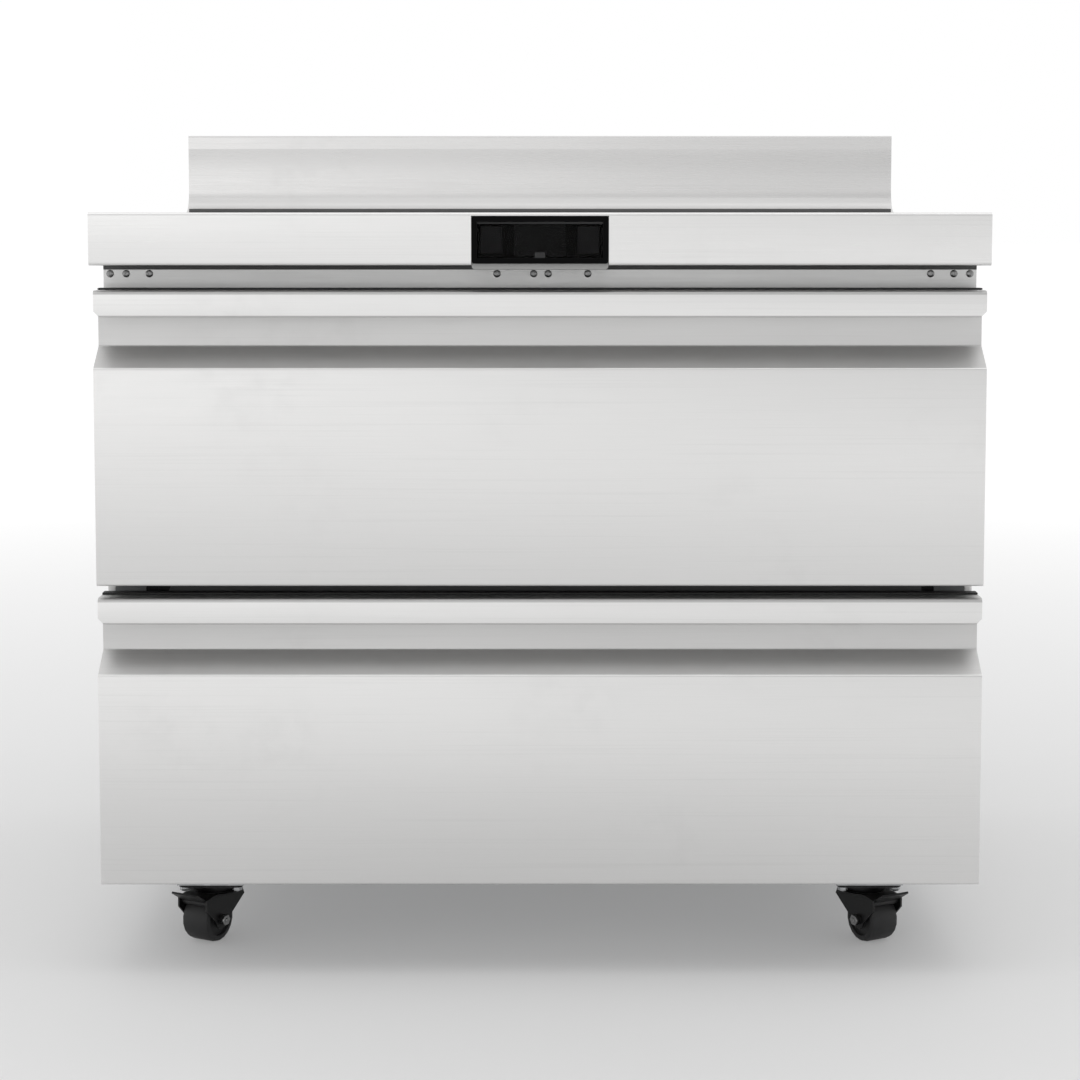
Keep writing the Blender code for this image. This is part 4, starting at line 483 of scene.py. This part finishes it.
def smoked_flap():
    """Tinted clear plastic with hairline scratches."""
    material, tree, shader = new_material("smoked_flap")
    shader.inputs["Transmission Weight"].default_value = 1.0
    shader.inputs["IOR"].default_value = 1.12
    scratches = use(tree, polishing_lines, (900, 900, 60))
    marks = use(tree, wiping_marks, (6, 6, 6))
    tone = tinted(tree, (0.50, 0.50, 0.505), marks["Cloud"], darker=0.82)
    join(tree, tone, shader.inputs["Base Color"])
    rough = spread(tree, marks["Prints"], 0, 1, 0.05, 0.14)
    join(tree, plus(tree, rough, scratches["Long"], 0.05), shader.inputs["Roughness"])
    relief = bump(tree, scratches["Long"], strength=0.03, distance=0.0001)
    join(tree, relief, shader.inputs["Normal"])
    return material


def dark_glass():
    """The display's window, almost black, with wiping marks."""
    material, tree, shader = new_material("dark_glass")
    shader.inputs["Specular IOR Level"].default_value = 0.2
    marks = use(tree, wiping_marks, (9, 9, 9))
    tone = tinted(tree, (0.004, 0.004, 0.0045), marks["Cloud"], darker=0.6)
    join(tree, tone, shader.inputs["Base Color"])
    join(tree, spread(tree, marks["Prints"], 0, 1, 0.07, 0.2), shader.inputs["Roughness"])
    return material


def rigid_foam():
    """Pale yellow insulation with open cells at its surface."""
    material, tree, shader = new_material("rigid_foam")
    grain = use(tree, moulded_grain, (0.5, 0.5, 0.5))
    tone = tinted(tree, (0.84, 0.74, 0.50), grain["Tone"], darker=0.8)
    join(tree, tone, shader.inputs["Base Color"])
    join(tree, spread(tree, grain["Tone"], 0, 1, 0.82, 0.96), shader.inputs["Roughness"])
    relief = bump(tree, grain["Grain"], strength=0.5, distance=0.0006)
    join(tree, relief, shader.inputs["Normal"])
    return material


across_grain = (14, 2600, 2600)
upright_grain = (2600, 2600, 14)
depth_grain = (2600, 14, 2600)
turned_grain = (700, 700, 700)


def front_steel(word):
    """The steel of one drawer front, whose flat face bulges between its foot and its slant."""
    low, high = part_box(word + "_drawer_front")
    span = (low[2], low[2] + (high[2] - low[2]) * face_share)
    return polished_steel(word + "_front_steel", across_grain, bulge=span)


# Steel made darker for the top rail: painted shade under the worktop's overhang
rail_painted_shade_steel = polished_steel(
    "rail_painted_shade_steel", across_grain, colour=(0.65, 0.65, 0.645), rough=(0.34, 0.46)
)
upper_front_steel = front_steel("upper")
lower_front_steel = front_steel("lower")
# The fronts' steel made darker for the handle recess: painted shade in the pocket under the lip
recess_painted_shade_steel = polished_steel(
    "recess_painted_shade_steel", across_grain, colour=(0.62, 0.617, 0.612), rough=(0.32, 0.44)
)
worktop_steel = polished_steel("worktop_steel", across_grain, rough=(0.24, 0.37))
# The worktop's own steel made darker on the backsplash: painted shade
backsplash_painted_shade_steel = polished_steel(
    "backsplash_painted_shade_steel", across_grain, colour=(0.70, 0.695, 0.69), rough=(0.22, 0.34),
    bulge=backsplash_span,
)
sides_steel = polished_steel("sides_steel", upright_grain)
frames_steel = polished_steel(
    "frames_steel", depth_grain, colour=(0.70, 0.70, 0.69), rough=(0.32, 0.46)
)
bright_steel = polished_steel(
    "bright_steel", turned_grain, colour=(0.80, 0.80, 0.79), rough=(0.16, 0.28)
)
# Steel made dark for the rail's screws and the axle nuts: painted shade
screw_painted_shade_steel = polished_steel(
    "screw_painted_shade_steel", turned_grain, colour=(0.30, 0.30, 0.30), rough=(0.26, 0.38)
)
# Steel made dark for the controller's bracket below the worktop's edge: painted shade
bracket_painted_shade_steel = polished_steel(
    "bracket_painted_shade_steel", across_grain, colour=(0.34, 0.34, 0.335), rough=(0.34, 0.46)
)
zinc = zinc_sheet()
fins = rolled_aluminium()
copper = drawn_copper()
liner_plastic = plastic("liner_plastic", (0.78, 0.79, 0.79), rough=0.42, darker=0.93)
frame_plastic = plastic("frame_plastic", (0.20, 0.205, 0.21), rough=0.5, darker=0.85)
breaker_plastic = plastic(
    "breaker_plastic", (0.110, 0.111, 0.114), rough=0.45, darker=0.8, dusty=0.1
)
black_plastic = plastic(
    "black_plastic", (0.007, 0.007, 0.0075), rough=0.42, darker=0.7, dusty=0.05
)
bezel_plastic = plastic(
    "bezel_plastic", (0.0025, 0.0025, 0.0027), rough=0.38, darker=0.7, shine=0.05
)
key_plastic = plastic("key_plastic", (0.030, 0.030, 0.031), rough=0.45, darker=0.7, shine=0.15)
tab_plastic = plastic("tab_plastic", (0.040, 0.040, 0.041), rough=0.4, darker=0.85, shine=0.2)
roller_plastic = plastic("roller_plastic", (0.50, 0.50, 0.48), rough=0.5, darker=0.8)
# Near-black plastic for the strip on top of each front, which paints the shade of the gap above it
painted_gap_shade = plastic("painted_gap_shade", (0.045, 0.045, 0.046), rough=0.6, darker=0.7, shine=0.2)
# Dark plastic for the strips that paint the shade under the worktop's edge and at the backsplash's
# foot
painted_shade_strip = plastic("painted_shade_strip", (0.110, 0.110, 0.111), rough=0.5, darker=0.8, shine=0.3)
seal_rubber = plastic("seal_rubber", (0.10, 0.10, 0.10), rough=0.62, darker=0.75)
tyre_rubber = plastic("tyre_rubber", (0.022, 0.022, 0.023), rough=0.6, darker=0.6, dusty=0.12)
black_enamel = enamel("black_enamel", (0.008, 0.008, 0.0085))
flap_plastic = smoked_flap()
display_glass = dark_glass()
foam = rigid_foam()


# The finish of each of the CAD's pieces, by the end of its name

finish_by_ending = (
    ("worktop", worktop_steel),
    ("upper_drawer_front", upper_front_steel),
    ("lower_drawer_front", lower_front_steel),
    ("side_panel", sides_steel),
    ("top_rail", rail_painted_shade_steel),
    ("mullion", breaker_plastic),
    ("controller_bracket", bracket_painted_shade_steel),
    ("drawer_frame", frames_steel),
    ("cabinet_rail", zinc),
    ("base_panel", zinc),
    ("back_panel", zinc),
    ("machine_cover", zinc),
    ("unit_tray", zinc),
    ("_coil", fins),
    ("inner_liner", liner_plastic),
    ("inner_panel", liner_plastic),
    ("evaporator_cover", liner_plastic),
    ("front_frame", frame_plastic),
    ("roller", roller_plastic),
    ("gasket", seal_rubber),
    ("wheel", tyre_rubber),
    ("_fork", black_enamel),
    ("compressor", black_enamel),
    ("fan_motor", black_enamel),
    ("brake", black_plastic),
    ("fan_blade", black_plastic),
    ("condenser_shroud", black_plastic),
    ("controller_bezel", bezel_plastic),
    ("_key", key_plastic),
    ("cord_gland", black_plastic),
    ("controller_display", display_glass),
    ("controller_cover", flap_plastic),
    ("_line", copper),
    ("insulation", foam),
)


def new_geometry_group(name):
    """A geometry node group, with where its geometry comes in and goes out."""
    group = bpy.data.node_groups.new(name, "GeometryNodeTree")
    for way in ("INPUT", "OUTPUT"):
        group.interface.new_socket("Geometry", in_out=way, socket_type="NodeSocketGeometry")
    source = group.nodes.new("NodeGroupInput").outputs["Geometry"]
    return group, source, group.nodes.new("NodeGroupOutput").inputs["Geometry"]


def compared(group, value, operation, limit):
    """Whether a value is past a limit."""
    test = add(group, "FunctionNodeCompare", operation=operation)
    test.inputs["B"].default_value = limit
    join(group, value, test.inputs["A"])
    return test.outputs["Result"]


def make_smoothing_group():
    """Rounds the shading of facets that meet at a shallow angle."""
    group, source, result = new_geometry_group("smooth_facets")
    weld = add(group, "GeometryNodeMergeByDistance")
    weld.inputs["Distance"].default_value = facet_weld
    faces = add(group, "GeometryNodeSetShadeSmooth", domain="FACE")
    edges = add(group, "GeometryNodeSetShadeSmooth", domain="EDGE")
    angle = add(group, "GeometryNodeInputMeshEdgeAngle").outputs["Unsigned Angle"]
    shallow = compared(group, angle, "LESS_THAN", facet_angle)
    join(group, source, weld.inputs["Geometry"])
    join(group, weld.outputs["Geometry"], faces.inputs["Geometry"])
    join(group, faces.outputs["Geometry"], edges.inputs["Geometry"])
    join(group, shallow, edges.inputs["Shade Smooth"])
    join(group, edges.outputs["Geometry"], result)
    return group


def make_zone_group(name, *lines):
    """Gives the faces past every line a piece's second finish.

    A line is an axis, the comparison, a limit, and whether it counts on both sides of zero.
    """
    group, source, result = new_geometry_group(name)
    axes = split_axes(group, add(group, "GeometryNodeInputPosition").outputs["Position"])
    inside = None
    for axis, operation, limit, both_sides in lines:
        distance = axes[axis]
        if both_sides:
            size = add(group, "ShaderNodeMath", operation="ABSOLUTE")
            join(group, distance, size.inputs[0])
            distance = size.outputs["Value"]
        past = compared(group, distance, operation, limit)
        if inside is None:
            inside = past
        else:
            both = add(group, "FunctionNodeBooleanMath", operation="AND")
            join(group, inside, both.inputs[0])
            join(group, past, both.inputs[1])
            inside = both.outputs["Boolean"]
    finish = add(group, "GeometryNodeSetMaterialIndex")
    finish.inputs["Material Index"].default_value = 1
    join(group, source, finish.inputs["Geometry"])
    join(group, inside, finish.inputs["Selection"])
    join(group, finish.outputs["Geometry"], result)
    return group


smooth_facets = make_smoothing_group()
handle_recess = make_zone_group(
    "handle_recess",
    ("Y", "GREATER_THAN", handle_recess_line, False),
    ("X", "LESS_THAN", front_end_line, True),
)
backsplash = make_zone_group("backsplash", ("Y", "GREATER_THAN", cove_foot, False))
finger_tab = make_zone_group("finger_tab", ("Y", "LESS_THAN", cover_tab_line, False))
end_blocks = make_zone_group("end_blocks", ("X", "GREATER_THAN", mullion_block_line, True))
caster_plates = make_zone_group("caster_plates", ("Z", "LESS_THAN", caster_plate_line, False))

# A second finish on part of a piece: its zone and its material
second_finishes = {
    # The handle recess takes the front's steel made darker: painted shade
    "upper_drawer_front": (handle_recess, recess_painted_shade_steel),
    "lower_drawer_front": (handle_recess, recess_painted_shade_steel),
    # The backsplash takes the worktop's steel made darker: painted shade
    "worktop": (backsplash, backsplash_painted_shade_steel),
    "controller_cover": (finger_tab, tab_plastic),
    "mullion": (end_blocks, black_enamel),
    "base_panel": (caster_plates, black_enamel),
}


def add_step(item, group):
    """Runs a geometry node group on a piece."""
    step = item.modifiers.new(group.name, "NODES")
    step.node_group = group


def dress(name, item):
    """Gives a CAD piece its finish, its smooth facets and its second finish if it has one."""
    for ending, material in finish_by_ending:
        if name.endswith(ending):
            item.data.materials.clear()
            item.data.materials.append(material)
            break
    else:
        raise ValueError("no finish for " + name)
    add_step(item, smooth_facets)
    if name in second_finishes:
        zone, material = second_finishes[name]
        item.data.materials.append(material)
        add_step(item, zone)


for node_name, node_object in frame["nodes"].items():
    dress(node_name, node_object)


# Shapes of the small pieces that the CAD leaves to the scene


def mesh_of(name, shape):
    """A mesh made of a shape, which is freed."""
    mesh = bpy.data.meshes.new(name)
    shape.to_mesh(mesh)
    shape.free()
    return mesh


def linked(name, data):
    """A new object in the scene."""
    item = bpy.data.objects.new(name, data)
    bpy.context.scene.collection.objects.link(item)
    return item


def piece_of(name, shape, material, body):
    """A finished small piece, riding on its body."""
    mesh = mesh_of(name, shape)
    item = linked(name, mesh)
    mesh.materials.append(material)
    mesh.shade_smooth()
    mesh.set_sharp_from_angle(angle=facet_angle)
    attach(item, body)


def turned(profile, segments=24):
    """A closed turned solid about Z from (radius, height) points, top to bottom."""
    shape = bmesh.new()
    verts = [shape.verts.new((radius, 0, height)) for radius, height in profile]
    edges = [shape.edges.new(pair) for pair in zip(verts, verts[1:])]
    bmesh.ops.spin(
        shape, geom=verts + edges, cent=(0, 0, 0), axis=(0, 0, 1), angle=math.tau, steps=segments
    )
    bmesh.ops.remove_doubles(shape, verts=shape.verts, dist=turned_weld)
    bmesh.ops.recalc_face_normals(shape, faces=shape.faces)
    return shape


def prism(points, low, high):
    """An upright prism on an outline in (X, Y)."""
    shape = bmesh.new()
    floor = shape.faces.new([shape.verts.new((x, y, low)) for x, y in points])
    grown = bmesh.ops.extrude_face_region(shape, geom=[floor])
    rise = [part for part in grown["geom"] if isinstance(part, bmesh.types.BMVert)]
    bmesh.ops.translate(shape, verts=rise, vec=(0, 0, high - low))
    bmesh.ops.recalc_face_normals(shape, faces=shape.faces)
    return shape


def carved(shape, tool):
    """The first shape with the second cut out of it."""
    block, cutter = [linked("carving", mesh_of("carving", part)) for part in (shape, tool)]
    step = block.modifiers.new("cut", "BOOLEAN")
    step.operation = "DIFFERENCE"
    step.object = cutter
    evaluated = block.evaluated_get(bpy.context.evaluated_depsgraph_get())
    result = bmesh.new()
    result.from_mesh(bpy.data.meshes.new_from_object(evaluated))
    for item in (block, cutter):
        bpy.data.objects.remove(item)
    return result


def placed(shape, places):
    """Copies of one small shape at each place, as one shape."""
    single = mesh_of("copy", shape)
    result = bmesh.new()
    for place in places:
        moved = bmesh.new()
        moved.from_mesh(single)
        bmesh.ops.transform(moved, matrix=place, verts=moved.verts)
        result.from_mesh(mesh_of("copy", moved))
    return result


def screw_head(radius):
    """A pan head with a crossed recess, its flat side at zero and its crown up."""
    rise = radius * head_rise_share
    profile = []
    for step in range(head_steps):
        angle = step * math.pi / 2 / head_steps
        profile.append((radius * math.sin(angle), rise * math.cos(angle) ** head_fullness))
    profile += [(radius, rise * head_rim_share), (radius, 0), (0, 0)]
    arm = radius * cross_reach_share
    slim = radius * cross_width_share
    cross = [
        (-slim, -arm), (slim, -arm), (slim, -slim), (arm, -slim), (arm, slim), (slim, slim),
        (slim, arm), (-slim, arm), (-slim, slim), (-arm, slim), (-arm, -slim), (-slim, -slim),
    ]
    tool = prism(cross, rise * cross_floor_share, rise * cross_overrun_share)
    return carved(turned(profile), tool)


def hex_nut(across, height, bore):
    """A six-sided nut with chamfered corners and the end of its bolt."""
    reach = across / math.sqrt(3)
    angles = [math.tau * corner / 6 for corner in range(6)]
    outline = [(reach * math.cos(angle), reach * math.sin(angle)) for angle in angles]
    shape = prism(outline, 0, height)
    bmesh.ops.bevel(
        shape, geom=shape.edges, offset=height * nut_chamfer_share, segments=1, affect="EDGES"
    )
    bolt = [
        (0, height * bolt_rise_share),
        (bore * bolt_tip_share, height * bolt_rise_share),
        (bore, height * bolt_shoulder_share),
        (bore, 0),
        (0, 0),
    ]
    shape.from_mesh(mesh_of("bolt", turned(bolt, bolt_segments)))
    return shape


def joints_ending(ending):
    """The casters' joints of one kind, each with the name of its corner."""
    for joint in frame["joints"]:
        if joint["name"].endswith(ending):
            yield joint["name"].removesuffix(ending), joint


# Screws, nuts, bolts and dark strips of painted shade

turn_to_front = Matrix.Rotation(math.pi / 2, 4, "X")
turn_to_back = Matrix.Rotation(-math.pi / 2, 4, "X")
turn_down = Matrix.Rotation(math.pi, 4, "X")


def make_rail_screws():
    """The row of screws on the top rail, each turned differently."""
    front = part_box("top_rail")[0][1] - touch
    places = []
    for index, spot in enumerate(rail_screw_spots):
        turn = Matrix.Rotation(rail_screw_turn * index, 4, "Z")
        places.append(Matrix.Translation((spot, front, rail_screw_line)) @ turn_to_front @ turn)
    shape = placed(screw_head(rail_screw_radius), places)
    piece_of("rail_screws", shape, screw_painted_shade_steel, "cabinet")


def make_back_screws():
    """Screws round the back panel and the machine cover, each turned differently."""
    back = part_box("back_panel")[1][1] + touch
    margin = back_screw_margin
    spots = []
    for node, side_shares in back_screw_side_shares:
        low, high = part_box(node)
        for share in back_screw_shares:
            x = low[0] + (high[0] - low[0]) * share
            spots += [(x, back, high[2] - margin), (x, back, low[2] + margin)]
        for share in side_shares:
            z = low[2] + (high[2] - low[2]) * share
            spots += [(low[0] + margin, back, z), (high[0] - margin, back, z)]
    places = [
        Matrix.Translation(spot) @ turn_to_back @ Matrix.Rotation(index, 4, "Z")
        for index, spot in enumerate(spots)
    ]
    shape = placed(screw_head(back_screw_radius), places)
    piece_of("back_screws", shape, bright_steel, "cabinet")


def make_axle_nuts():
    """A nut on each side of each fork, on the wheel's axis."""
    for corner, joint in joints_ending("_wheel_spin"):
        centre = Vector(joint["pos_m"])
        axis = Vector(joint["axis"]).normalized()
        places = []
        for outward in (-axis, axis):
            turn = outward.to_track_quat("Z", "Y").to_matrix().to_4x4()
            places.append(Matrix.Translation(centre + outward * axle_nut_seat) @ turn)
        shape = placed(hex_nut(*axle_nut_size), places)
        piece_of(corner + "_axle_nuts", shape, screw_painted_shade_steel, corner + "_fork")


def make_plate_bolts():
    """Four bolt heads under each caster plate."""
    places = []
    for _, joint in joints_ending("_swivel"):
        x, y, _ = joint["pos_m"]
        for side_x in (-1, 1):
            for side_y in (-1, 1):
                spot = (
                    x + side_x * plate_bolt_spread[0],
                    y + side_y * plate_bolt_spread[1],
                    plate_underside - touch,
                )
                places.append(Matrix.Translation(spot) @ turn_down)
    shape = placed(hex_nut(*plate_bolt_size), places)
    piece_of("plate_bolts", shape, zinc, "cabinet")


def strip_along_x(name, low, high, material, body):
    """A thin dark strip with rounded edges between two corners."""
    outline = [(low[0], low[1]), (high[0], low[1]), (high[0], high[1]), (low[0], high[1])]
    shape = prism(outline, low[2], high[2])
    bmesh.ops.bevel(
        shape, geom=shape.edges, offset=strip_rounding, segments=2, profile=0.5, affect="EDGES"
    )
    piece_of(name, shape, material, body)


def make_dark_strips():
    """Dark strips that paint the shade lines under the worktop's edge, at the backsplash's foot
    and on each front.
    """
    # A dark strip on the rail just under the worktop's edge: painted shade
    rail_low, rail_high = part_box("top_rail")
    low = (rail_low[0], rail_low[1] - shade_strip_depth, rail_high[2] - shade_strip_height)
    high = (rail_high[0], rail_low[1] - touch, rail_high[2])
    strip_along_x("worktop_shade_strip", low, high, painted_shade_strip, "cabinet")
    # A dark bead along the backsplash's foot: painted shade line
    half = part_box("worktop")[1][0] - bead_end_gap
    low = (-half, cove_foot - bead_half_width, worktop_top + touch)
    high = (half, cove_foot + bead_half_width, worktop_top + bead_height)
    strip_along_x("backsplash_shade_bead", low, high, painted_shade_strip, "cabinet")
    # A dark strip on top of each front: painted shade of the gap above it
    for word in ("upper", "lower"):
        front_low, front_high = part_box(word + "_drawer_front")
        low = (front_low[0], front_high[1] - front_strip_insets[0], front_high[2] + touch)
        high = (
            front_high[0],
            front_high[1] - front_strip_insets[1],
            front_high[2] + front_strip_height,
        )
        strip_along_x(word + "_front_shade_strip", low, high, painted_gap_shade, word + "_drawer")


make_rail_screws()
make_dark_strips()
make_back_screws()
make_axle_nuts()
make_plate_bolts()


# Floor, light and camera


def seen_plainly(tree):
    """One for the rays that show the floor: to the camera, in gloss and through clear plastic."""
    path = add(tree, "ShaderNodeLightPath")
    value = path.outputs["Is Camera Ray"]
    for other in ("Is Glossy Ray", "Is Transmission Ray"):
        value = combine(tree, "MAXIMUM", value, path.outputs[other])
    return value


def make_floor():
    """A plain pale floor that keeps the object's shadow and looks paler away from it."""
    shape = bmesh.new()
    bmesh.ops.create_grid(shape, x_segments=1, y_segments=1, size=floor_reach)
    mesh = mesh_of("floor", shape)
    item = linked("floor", mesh)
    material, tree, shader = new_material("floor")
    shader.inputs["Roughness"].default_value = 0.9
    shader.inputs["Specular IOR Level"].default_value = 0.1
    shader.inputs["Emission Color"].default_value = (1, 1, 1, 1)
    mottle = noise(tree, object_vector(tree), scale=1.5, detail=2.0)
    join(tree, tinted(tree, floor_colour, mottle, darker=0.985), shader.inputs["Base Color"])
    away = add(tree, "ShaderNodeVectorMath", operation="LENGTH")
    join(tree, object_vector(tree), away.inputs[0])
    paler = spread(tree, away.outputs["Value"], 0.7, 4.0, to_low=0.20, to_high=0.50)
    glow = combine(tree, "MULTIPLY", seen_plainly(tree), paler)
    join(tree, glow, shader.inputs["Emission Strength"])
    mesh.materials.append(material)


def area_light(name, place, target, size, power):
    """A soft rectangular lamp that looks at a target."""
    data = bpy.data.lights.new(name, "AREA")
    data.shape = "RECTANGLE"
    data.size, data.size_y = size
    data.energy = power
    item = linked(name, data)
    item.location = place
    item.rotation_euler = (Vector(target) - Vector(place)).to_track_quat("-Z", "Y").to_euler()


def make_world():
    """A white surround; the part behind the camera is duller to the right and overhead."""
    world = bpy.data.worlds.new("studio")
    bpy.context.scene.world = world
    world.use_nodes = True
    tree = world.node_tree
    ways = split_axes(tree, add(tree, "ShaderNodeTexCoord").outputs["Generated"])
    sideways = spread(tree, ways["X"], -0.22, 0.26, to_low=1.02, to_high=0.86)
    upward = spread(tree, ways["Z"], 0.18, 0.75, to_low=1.0, to_high=0.40)
    strength = combine(tree, "MULTIPLY", sideways, upward)
    strength = combine(tree, "MAXIMUM", strength, spread(tree, ways["Y"], -0.55, -0.18))
    background = tree.nodes["Background"]
    join(tree, strength, background.inputs["Strength"])
    background.inputs["Color"].default_value = (1, 1, 1, 1)


def make_camera():
    """Stands level with the worktop, so its top is seen edge-on, and looks slightly down."""
    data = bpy.data.cameras.new("camera")
    data.sensor_width = sensor_width_mm
    data.lens = sensor_width_mm * focal_pixels / frame_pixels
    data.shift_y = shift_pixels / frame_pixels
    item = linked("camera", data)
    drop = math.atan((frame_pixels / 2 + shift_pixels - worktop_line_pixel) / focal_pixels)
    item.location = (0, front_plane - camera_distance, worktop_top)
    item.rotation_euler = (math.pi / 2 - drop, 0, 0)
    bpy.context.scene.camera = item


make_floor()
area_light("overhead", place=(0, -1.1, 2.75), target=(0, -0.2, 0.5), size=(2.8, 2.0), power=10)
area_light("front_left", place=(-1.6, -4.4, 2.0), target=(0, 0, 0.5), size=(3.0, 2.0), power=7)
make_world()
make_camera()
bpy.context.scene.view_settings.view_transform = "Standard"
